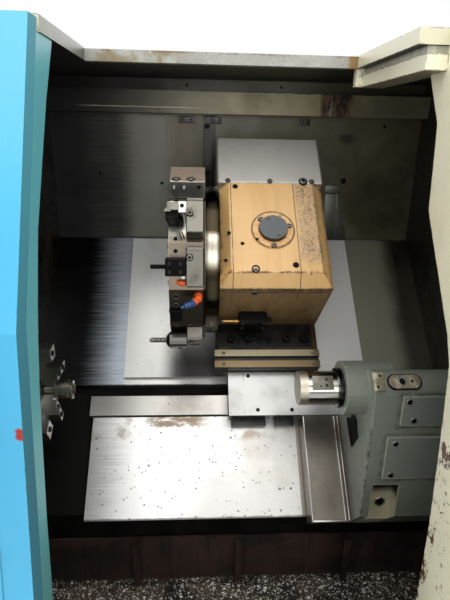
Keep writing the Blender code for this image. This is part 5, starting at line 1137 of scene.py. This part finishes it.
def housing_details():
    """Fasteners of the turret housing, its cap, upper cover, flange and switch box."""
    black, steel, dark, brass = Maker(), Maker(), Maker(), Maker()
    for x, u in ((0.1645, 0.4227), (0.2376, 0.4033), (0.1945, 0.3434)):
        dark.ringed_screw(slant(x, u, CAP_SEAT), steel, dark, 0.0058)
    for x, u in ((0.1838, 0.4182), (0.2078, 0.3691)):
        dark.ringed_screw(slant(x, u, CAP_FACE), steel, dark, 0.0034, 0.002)
    dark.hole(slant(0.1523, 0.3615, CAP_SEAT), 0.0042)
    for x, u in ((0.0816, 0.3813), (0.1149, 0.350), (0.0715, 0.300)):
        dark.hole(slant(x, u, HOUSING_FACE), 0.0052)
    dark.ringed_screw(slant(0.2459, 0.2883, HOUSING_FACE), black, dark, 0.0060)
    black.ring(slant(0.145, 0.276, HOUSING_FACE), 0.0076, 0.0104, 0.0030)
    dark.ringed_screw(slant(0.145, 0.272, HOUSING_FACE), steel, dark, 0.0052)
    dark.ringed_screw(slant(0.102, 0.531, HOUSING_FACE), black, dark, 0.0056)
    # Filler strip of the housing's right hand seam
    paint_strip = Maker()
    paint_strip.slab(slant(0.283, 0.4045, HOUSING_FACE), (0.0030, 0.275, 0.0004), 0.0001, low=-0.002)
    paint_strip.make("housing_seam_strip", "cross_slide_unit", "sand_paint", SURFACES["turret_housing"])
    # Boss in the underside
    steel.ring(slant(0.1466, 0.237, 0.030, TO_FRONT), 0.006, 0.0105, 0.0018)
    dark.hole(slant(0.1466, 0.237, 0.030, TO_FRONT), 0.0062)
    # Upper cover
    for x, size in ((0.083, 0.006), (0.1965, 0.006), (0.311, 0.006), (0.287, 0.0100)):
        dark.ringed_screw(slant(x, 0.5490, TOP_COVER_FACE), steel, dark, size * 0.92)
    # Flange bolts
    for x in (0.097, 0.148, 0.254, 0.304):
        black.ring(slant(x, 0.191, FLANGE_FACE), 0.0112, 0.0140, 0.0016)
        black.cap_screw(slant(x, 0.191, FLANGE_FACE), 0.0110, 0.011)
    dark.hole(slant(0.202, 0.191, FLANGE_FACE), 0.0085)
    black.ring(slant(0.202, 0.191, FLANGE_FACE), 0.0085, 0.0120, 0.0016)
    for x in (0.075, 0.325):
        for u, n in ((0.1185, -0.1690), (0.149, FLANGE_FACE)):
            steel.pan_screw(slant(x, u, n), 0.0045, 0.0022)
    # Switch box: its lid, screws, cable gland and the trip rod beside it
    front = slant(0.1525, 0.2067, -0.100, TO_FRONT)
    black.slab(front, (0.068, 0.043, 0.0025), 0.0012)
    for x in (-0.029, 0.029):
        for z in (-0.016, 0.016):
            steel.pan_screw(moved(front, x, z, 0.0025), 0.0032, 0.0016)
    black.turned(slant(0.1903, 0.222, -0.100, TO_RIGHT),
                 [(0.007, -SUNK, True), (0.007, 0.006, True), (0.0052, 0.006), (0.0052, 0.014),
                  (0.003, 0.016)], 24)
    brass.turned(slant(0.1155, 0.222, -0.108, TO_LEFT),
                 [(0.0062, -SUNK), (0.0062, 0.012), (0.0048, 0.0135), (0.0048, 0.042)], 20)
    steel.turned(slant(0.0740, 0.222, -0.108, TO_LEFT),
                 [(0.0058, -SUNK), (0.0062, 0.002), (0.0056, 0.006), (0.0030, 0.009)], 20)
    black.make("housing_screws", "cross_slide_unit", "blackened_steel")
    steel.make("housing_rings", "cross_slide_unit", "machined_steel", SURFACES["clamp_plate_1"])
    dark.make("housing_holes", "cross_slide_unit", "blackened_steel", MATERIALS["bore_black"])
    brass.make("trip_rod", "cross_slide_unit", "machined_steel", MATERIALS["brass"])


def chamber_details():
    """Post, brackets, bolts and trims on the chamber's own walls and covers."""
    sheet_parts, black = Maker(), Maker()
    sheet_parts.slab(spot(0.0385, REAR_WALL, 0.505, TO_FRONT), (0.038, 0.232, 0.004), 0.002)
    for x, z in ((0.031, 0.590), (0.032, 0.449)):
        black.hex_bolt(spot(x, REAR_WALL - 0.004, z, TO_FRONT), 0.007, 0.005)
    for x, z, size in ((-0.114, 0.412, 0.004), (0.482, 0.428, 0.007), (-0.032, 0.708, 0.0035),
                       (0.26, 0.708, 0.003), (-0.31, 0.44, 0.004), (0.60, 0.60, 0.004)):
        black.hex_bolt(spot(x, REAR_WALL, z, TO_FRONT), size, size * 0.7)
    # Small plates under the cross beam, each with two screws
    for x, wide in ((-0.032, 0.050), (0.341, 0.030), (0.06, 0.032)):
        sheet_parts.slab(spot(x, 0.6190, 0.608, TO_FRONT), (wide, 0.020, 0.010), 0.002)
        for side in (-wide / 4, wide / 4):
            black.cap_screw(spot(x + side, 0.6090, 0.608, TO_FRONT), 0.004, 0.002)
    # Seam strips of the right hand cover and a bracket beside the housing
    strip = Maker()
    strip.prism(spot(0, REAR_WALL, 0, TO_FRONT), [(0.425, 0.236), (0.509, 0.236), (0.468, 0.386),
                                                  (0.425, 0.386)], -SUNK, 0.006, 0.001)
    strip.prism(spot(0, REAR_WALL, 0, TO_FRONT), [(0.4655, 0.236), (0.509, 0.236), (0.468, 0.386),
                                                  (0.4625, 0.386)], 0.006, 0.008, 0.0005)
    strip.slab(spot(0.447, REAR_WALL, 0.4005, TO_FRONT), (0.050, 0.026, 0.011), 0.002)
    strip.make("wall_strip", "machine", "galvanised",
               sheet("strip_metal", srgb(112, 115, 106), 0.42, False, 0.4, srgb(70, 62, 44)))
    # Liner of the channel between the roof's edge and the side rail
    liner = Maker()
    liner.slab(spot(0.4213, 0.0750, 0.7105), (0.0380, 0.3480, 0.0142), low=0)
    liner.make("rail_liner", "machine", "cream_paint",
               bulkhead_paint("liner_paint", srgb(168, 166, 148), srgb(206, 208, 192)))
    sheet_parts.make("chamber_brackets", "machine", "dark_paint",
                     bulkhead_paint("bracket_paint", srgb(44, 36, 26), srgb(84, 72, 52)))
    black.make("chamber_bolts", "machine", "blackened_steel")


def tailstock_details():
    """Cover screws, boss, plates and trims that ride on the tailstock; the quill's face plate."""
    steel, black, dark, painted, shiny = Maker(), Maker(), Maker(), Maker(), Maker()
    for x, z in ((0.470, 0.017), (0.486, -0.031), (0.682, 0.017), (0.682, -0.031), (0.452, -0.091),
                 (0.4515, -0.1755), (0.682, -0.091), (0.682, -0.1755)):
        steel.ring(spot(x, TAILSTOCK_FACE, z, TO_FRONT), 0.0050, 0.0068, 0.001)
        black.cap_screw(spot(x, TAILSTOCK_FACE, z, TO_FRONT), 0.0050, 0.003)
    black.hex_bolt(spot(0.452, -0.060, -0.283, TO_FRONT), 0.0070, 0.006)
    steel.ring(spot(0.452, -0.060, -0.283, TO_FRONT), 0.0096, 0.0130, 0.0025)
    # Oval boss with its sight hole on the rounded shoulder
    shoulder = Matrix.Rotation(SLOPE, 4, 'X')
    oval = []
    for k in range(24):
        angle = 2 * math.pi * k / 24
        across = math.cos(angle)
        oval.append((math.copysign(0.0195, across) + 0.0165 * across, 0.0155 * math.sin(angle)))
    centre = spot(0.4585, -0.0833, 0.0583, shoulder)
    painted.prism(centre, oval, -0.006, 0.004, 0.0012)
    backing = Maker()
    backing.prism(centre, [(1.10 * a, 1.16 * b) for a, b in oval], -0.007, 0.0012, 0.0005)
    steel.ring(moved(centre, -0.006, 0, 0.004), 0.0072, 0.0092, 0.0012)
    dark.hole(moved(centre, -0.006, 0, 0.004), 0.0072)
    painted.ring(moved(centre, 0.016, 0, 0.004), 0.0032, 0.0100, 0.0012)
    dark.hole(moved(centre, 0.016, 0, 0.004), 0.0030)
    # Two-hole plate at the barrel
    plate_seat = spot(0.4005, -0.0833, 0.0583, shoulder)
    painted.slab(plate_seat, (0.025, 0.042, 0.0035), 0.001, low=-0.007)
    for x, z in ((-0.004, -0.012), (0.003, 0.013)):
        dark.hole(moved(plate_seat, x, z, 0.0035), 0.0030)
    # Clamping slot's cover on the body's left side, under the barrel
    backing.prism(spot(0.393, 0.0, 0.0, TO_LEFT), [(-0.1263, 0.0700), (-0.0860, 0.0050), (-0.1229, -0.0240),
                                                   (-0.1742, 0.0100), (-0.1647, 0.0263)], -0.001, 0.003,
                  0.001)
    # Screws of the base plate, and the bright edges of its trough
    for x, u in ((0.1686, 0.0005), (0.2627, 0.0000), (0.1454, 0.0972), (0.2825, 0.0964)):
        black.cap_screw(slant(x, u, BASE_FACE), 0.0052, 0.0018)
    shiny.slab(slant(0.1312, 0.047, BASE_FACE), (0.0012, 0.118, 0.0008), 0.0003)
    for x, u, size in ((0.2925, -0.150, (0.0032, 0.262, 0.006)), (0.3420, -0.2825, (0.0980, 0.0032, 0.006)),
                       (0.3760, -0.150, (0.0028, 0.262, 0.008)), (0.3850, -0.150, (0.0028, 0.262, 0.010))):
        shiny.slab(slant(x, u, TROUGH_FACE), size, 0.0012)
    # Two wiper blocks under the plate's overhanging edge, on the recessed face behind it
    wipers = Maker()
    for left, right in ((0.098, 0.195), (0.2207, 0.276)):
        wipers.slab(slant((left + right) / 2, -0.0140, -0.2745), (right - left, 0.036, 0.0135), 0.002, low=0)
    wipers.make("tailstock_wipers", "tailstock", "dark_paint",
                bulkhead_paint("wiper_paint", srgb(26, 29, 25), srgb(64, 68, 58)))
    steel.make("tailstock_rings", "tailstock", "machined_steel")
    black.make("tailstock_screws", "tailstock", "blackened_steel")
    dark.make("tailstock_holes", "tailstock", "blackened_steel", MATERIALS["bore_black"])
    painted.make("tailstock_bosses", "tailstock", "grey_green_paint",
                 bulkhead_paint("boss_metal", srgb(104, 96, 76), srgb(186, 178, 154)))
    backing.make("tailstock_slot_cover", "tailstock", "dark_paint", MATERIALS["bore_black"])
    shiny.make("trough_edges", "tailstock", "stainless")

    plate, holes = Maker(), Maker()
    tilt = spot(0.2920, -0.0283, 0.0283, Matrix.Rotation(SLOPE, 4, 'X'))
    plate.prism(tilt, [(-0.024, -0.016), (0.024, -0.016), (0.024, 0.016), (-0.024, 0.016)], -0.006, 0.0025,
                0.0008)
    for x, y in ((0.008, -0.007), (0.008, 0.007), (-0.006, -0.009)):
        holes.hole(moved(tilt, x, y, 0.0025), 0.0030 if x > 0 else 0.0020)
    plate.make("quill_key_plate", "tailstock_quill", "machined_steel", SURFACES["clamp_plate_1"])
    holes.make("quill_key_holes", "tailstock_quill", "blackened_steel", MATERIALS["bore_black"])


def chuck_details():
    """Screws of the jaws and the bolt circle of the chuck."""
    for number, direction in enumerate(JAW_DIRECTIONS, 1):
        bolts = Maker()
        turn = SPINDLE @ Matrix.Rotation(math.radians(direction), 4, 'X')
        for x, reach in ((-0.3125, 0.043), (-0.303, 0.0605), (-0.322, 0.096)):
            bolts.cap_screw(moved(turn, x, reach, 0) @ TO_RIGHT, 0.0062, 0.003)
        bolts.make(f"jaw_screws_{number}", f"jaw_{number}", "blackened_steel")
    ring = Maker()
    for k in range(3):
        angle = math.radians(155 + 120 * k)
        place = moved(SPINDLE, CHUCK_FACE, *circle(0.078, angle)) @ TO_RIGHT
        ring.cap_screw(place, 0.008, 0.003)
    ring.ring(moved(SPINDLE, CHUCK_FACE, 0, 0) @ TO_RIGHT, 0.034, 0.040, 0.003)
    ring.make("chuck_bolts", "spindle", "blackened_steel")


# Outside of the machine
def cover_paint(name, colour, across, up, seams=(), louvres=(), screws=(), facing=None):
    """Enamelled cover with pressed seams, rows of louvre slots and flush screws drawn into its surface."""
    s = Shade(name, 0.42)
    dirt = enamel(s, colour, 0.12, srgb(120, 104, 74), 0.35, srgb(84, 60, 40))
    place = s.axes(s.local())
    a, b = place[across], place[up]
    drawn = []
    for (a0, a1), (b0, b1) in seams:
        outer = s.times((a, a0, a1, CRISP), (b, b0, b1, CRISP))
        inner = s.times((a, a0 + 0.004, a1 - 0.004, CRISP), (b, b0 + 0.004, b1 - 0.004, CRISP))
        drawn.append(s.calc('SUBTRACT', outer, inner))
    for (a0, a1), (b0, b1), pitch in louvres:
        share = s.calc('FRACT', s.calc('DIVIDE', s.calc('SUBTRACT', b, b0), pitch))
        drawn.append(s.times((share, 0.30, 0.62, 0.04), (a, a0, a1, 0.002), (b, b0, b1, 0.001)))
    for middle in screws:
        radius = s.away(a, b, middle)
        drawn.append(s.most((radius, 0.006, 0.0075, 0.0004), (radius, None, 0.003, 0.0004)))
    dark = s.most(*drawn)
    if facing:
        dark = s.times(dark, s.facing(facing))
    s.bump(s.calc('SUBTRACT', 1.0, dark), 0.003, 0.8)
    s.coat(srgb(30, 28, 24), dark, 0.85)
    return s.finish(s.step(dirt, 0, 1, 0.40, 0.65))


def front_details():
    """Gasket and grab rail mounts of the door, hatch of the right cover and screws of the sill."""
    gasket, steel, painted, black = Maker(), Maker(), Maker(), Maker()
    gasket.frame(upper(-0.673, 0.2385), (0.266, 0.1965), (0.246, 0.1765), 0.006, 0.002)
    for x in (-0.90, -0.673, -0.45):
        for along in (0.036, 0.441):
            steel.pan_screw(upper(x, along), 0.005, 0.0025)
    for z in (-0.06, 0.20):
        steel.turned(lower(-0.363, z), [(0.024, -SUNK), (0.024, 0.004), (0.018, 0.007), (0.0125, 0.010)], 28)
    painted.frame(lower(-0.64, -0.03), (0.33, 0.24), (0.322, 0.232), 0.0022, 0.0008)
    gasket.make("window_gasket", "door", "rubber")
    steel.make("door_screws", "door", "machined_steel")
    painted.make("door_bead", "door", "cyan_paint", SURFACES["door_leaf"])

    hatch, steel = Maker(), Maker()
    hatch.slab(lower(0.87, -0.03), (0.56, 0.44, 0.003), 0.0015)
    for x in (0.62, 1.12):
        for z in (-0.215, 0.155):
            steel.pan_screw(lower(x, z, 0.003), 0.006, 0.003)
    for z in (-0.16, 0.10):
        steel.tube([lower(0.582, z - 0.03, 0.005).translation, lower(0.582, z + 0.03, 0.005).translation],
                   0.006, 14)
        steel.slab(lower(0.595, z, 0.0), (0.030, 0.050, 0.0045), 0.001)
    black.turned(lower(1.115, -0.03, 0.003), [(0.015, -SUNK), (0.015, 0.004), (0.012, 0.006), (0.005, 0.006),
                                              (0.004, 0.004)], 24)
    for k in range(9):
        x = -1.12 + 0.29 * k
        for z in (-0.375, -0.600):
            steel.pan_screw(lower(x, z), 0.006, 0.0028)
    for k in range(4):
        for place in (lower(0.50, -0.30 + 0.16 * k), lower(1.25, -0.30 + 0.16 * k),
                      upper(0.50, 0.06 + 0.12 * k), upper(1.25, 0.06 + 0.12 * k)):
            steel.pan_screw(place, 0.005, 0.0025)
    hatch.make("service_hatch", "machine", "cream_paint")
    steel.make("front_screws", "machine", "machined_steel")
    black.make("hatch_lock", "machine", "blackened_steel")


def panel_details():
    """Screen, bezel, plain keys and switches of the operator panel; nothing on them is lettered."""
    bezel, glass, pale, dark, steel = Maker(), Maker(), Maker(), Maker(), Maker()
    bezel.frame(upper(0.78, 0.34, DESK_FACE), (0.132, 0.102), (0.117, 0.087), 0.004, 0.0012)
    glass.slab(upper(0.78, 0.34, DESK_FACE - 0.006), (0.236, 0.176, 0.0030), 0.001)
    for k in range(8):
        dark.slab(upper(0.675 + 0.030 * k, 0.222, DESK_FACE), (0.022, 0.014, 0.0035), 0.0012)
    for row in range(5):
        for column in range(10):
            maker = dark if (row + column) % 7 == 0 else pale
            maker.slab(upper(0.668 + 0.0225 * column, 0.190 - 0.026 * row, DESK_FACE),
                       (0.0180, 0.0200, 0.0040), 0.0014)
    for row in range(4):
        for column in range(2):
            pale.slab(upper(0.927 + 0.026 * column, 0.300 + 0.034 * row, DESK_FACE), (0.0200, 0.0240, 0.0040),
                      0.0014)
    steel.ring(upper(1.07, 0.09, DESK_FACE), 0.0235, 0.031, 0.0012)
    steel.ring(upper(0.95, 0.09, DESK_FACE), 0.0212, 0.028, 0.0012)
    steel.ring(upper(1.03, 0.34, DESK_FACE), 0.0465, 0.054, 0.0015)
    for k in range(12):
        angle = math.radians(30 * k)
        dark.slab(upper(1.03, 0.34, DESK_FACE) @ Matrix.Rotation(angle, 4, 'Z')
                  @ Matrix.Translation((0.0505, 0, 0.0013)), (0.004, 0.0012, 0.0006), 0.0002)
    for x in (0.636, 1.124):
        for along in (0.046, 0.454):
            steel.pan_screw(upper(x, along, DESK_FACE), 0.0055, 0.0025)
    bezel.make("screen_bezel", "machine", "rubber")
    glass.make("screen", "machine", "rubber", MATERIALS["screen_glass"])
    pale.make("pale_keys", "machine", "rubber", MATERIALS["key_plastic"])
    dark.make("dark_keys", "machine", "rubber", MATERIALS["dark_key_plastic"])
    steel.make("panel_rings", "machine", "machined_steel")
    # Grips of the turning controls ride with them
    knob = Maker()
    for k in range(16):
        angle = 2 * math.pi * k / 16
        knob.slab(upper(0.95, 0.09, DESK_FACE + 0.0003) @ Matrix.Rotation(angle, 4, 'Z')
                  @ Matrix.Translation((0.0168, 0, 0)), (0.0040, 0.0030, 0.0185), 0.001, low=0.003)
    knob.slab(upper(0.95, 0.097, DESK_FACE + 0.0203), (0.0016, 0.012, 0.0008), 0.0003)
    knob.make("override_grip", "feed_override", "blackened_steel", MATERIALS["key_plastic"])
    grip = Maker()
    grip.ring(upper(1.03, 0.34, DESK_FACE + 0.0223), 0.036, 0.0440, 0.0018)
    grip.cap_screw(upper(1.03, 0.34, DESK_FACE + 0.0223), 0.007, 0.003)
    grip.make("handwheel_trim", "jog_handwheel", "blackened_steel")


def back_details():
    """Screws of the rear cover, hinge plates and screws on both sides of the cabinet."""
    steel = Maker()
    for x in (-1.10, -0.60, 1.20):
        for z in (-0.55, -0.1, 0.35, 0.65):
            steel.pan_screw(spot(x, 0.800, z, TO_BACK), 0.006, 0.003)
    for x in (-0.5503, 0.9503):
        turn = TO_LEFT if x < 0 else TO_RIGHT
        for z in (-0.6, -0.05, 0.5):
            steel.slab(spot(x, 1.06, z, turn), (0.09, 0.05, 0.004), 0.001)
            for dz in (-0.03, 0.03):
                steel.pan_screw(spot(x + (0.004 if x > 0 else -0.004), 1.06, z + dz, turn), 0.005, 0.002)
    steel.make("rear_screws", "machine", "machined_steel")


SURFACES.update({
    "left_side_cover": cover_paint("left_cover_paint", CREAM, 1, 2, [((-0.20, 0.66), (-0.52, 0.60))],
                                   [((0.34, 0.60), (0.20, 0.54), 0.03),
                                    ((-0.12, 0.20), (-0.46, -0.22), 0.03)],
                                   [(-0.17, -0.49), (-0.17, 0.57), (0.63, -0.49), (0.63, 0.57)]),
    "right_side_cover": cover_paint("right_cover_paint", CREAM, 1, 2, [((-0.10, 0.66), (-0.52, 0.56))],
                                    [((0.30, 0.60), (-0.44, -0.14), 0.03)],
                                    [(-0.07, -0.49), (-0.07, 0.53), (0.63, -0.49), (0.63, 0.53)]),
    "electrical_cabinet": cover_paint("cabinet_paint", CREAM, 0, 2,
                                      [((-0.50, 0.19), (-0.72, 0.62)), ((0.21, 0.90), (-0.72, 0.62))],
                                      [((-0.40, 0.06), (-0.66, -0.42), 0.03),
                                       ((0.34, 0.80), (-0.66, -0.42), 0.03)], [(0.155, 0.0), (0.245, 0.0)],
                                      (0, 1, 0)),
    "rear_cover": cover_paint("rear_cover_paint", CREAM, 0, 2,
                              [((-1.14, -0.60), (-0.58, 0.68)), ((0.99, 1.24), (-0.58, 0.68))], (), (),
                              (0, 1, 0)),
    "sill_cover": paint("sill_paint", CREAM, 0.30, srgb(112, 92, 60), 0.5, streak=0.6),
    "machine_base": paint("base_paint", srgb(150, 150, 132), 0.35, srgb(70, 60, 44), 0.4, 0.5, streak=0.6),
})


# Stage
def make_stage():
    """A white floor, and a world that is dimmer for light than for what sees it."""
    bpy.ops.mesh.primitive_plane_add(size=40, location=(0, 0, 0))
    floor = bpy.context.object
    floor.name = "floor"
    material = bpy.data.materials.new("floor")
    material.use_nodes = True
    shader = material.node_tree.nodes["Principled BSDF"]
    shader.inputs["Base Color"].default_value = (0.86, 0.86, 0.85, 1)
    shader.inputs["Roughness"].default_value = 0.8
    floor.data.materials.append(material)

    world = bpy.data.worlds.new("world")
    scene.world = world
    world.use_nodes = True
    tree = world.node_tree
    background = tree.nodes["Background"]
    rays = tree.nodes.new('ShaderNodeLightPath').outputs
    seen = rays["Is Camera Ray"]
    for other in ("Is Glossy Ray", "Is Transmission Ray"):
        either = tree.nodes.new('ShaderNodeMath')
        either.operation = 'MAXIMUM'
        tree.links.new(seen, either.inputs[0])
        tree.links.new(rays[other], either.inputs[1])
        seen = either.outputs[0]
    level = tree.nodes.new('ShaderNodeMapRange')
    tree.links.new(seen, level.inputs["Value"])
    level.inputs["To Min"].default_value = 0.55
    level.inputs["To Max"].default_value = 1.0
    tree.links.new(level.outputs["Result"], background.inputs["Strength"])
    background.inputs["Color"].default_value = (1, 1, 1, 1)


def area_light(name, place, target, size, power):
    lamp = bpy.data.lights.new(name, 'AREA')
    lamp.shape = 'RECTANGLE'
    lamp.size, lamp.size_y = size
    lamp.energy = power
    thing = bpy.data.objects.new(name, lamp)
    thing.location = place
    thing.rotation_euler = (Vector(target) - Vector(place)).to_track_quat('-Z', 'Y').to_euler()
    scene.collection.objects.link(thing)


make_camera()
dress_nodes()
for build in (turret_details, housing_details, chamber_details, tailstock_details, chuck_details,
              front_details, panel_details, back_details, make_stage):
    build()
area_light("key", (0.1, -1.2, 3.9), (0, -0.1, 1.1), (3.6, 2.6), 84)
area_light("front", (0.3, -4.2, 2.0), (0, 0, 1.2), (3.4, 2.2), 52)
area_light("fill_left", (-3.4, -1.8, 2.2), (0, 0, 1.0), (2.4, 2.4), 34)
area_light("fill_right", (3.4, -1.6, 2.2), (0, 0, 1.0), (2.4, 2.4), 34)
area_light("back", (0, 3.4, 2.6), (0, 0, 1.0), (3.0, 2.0), 60)
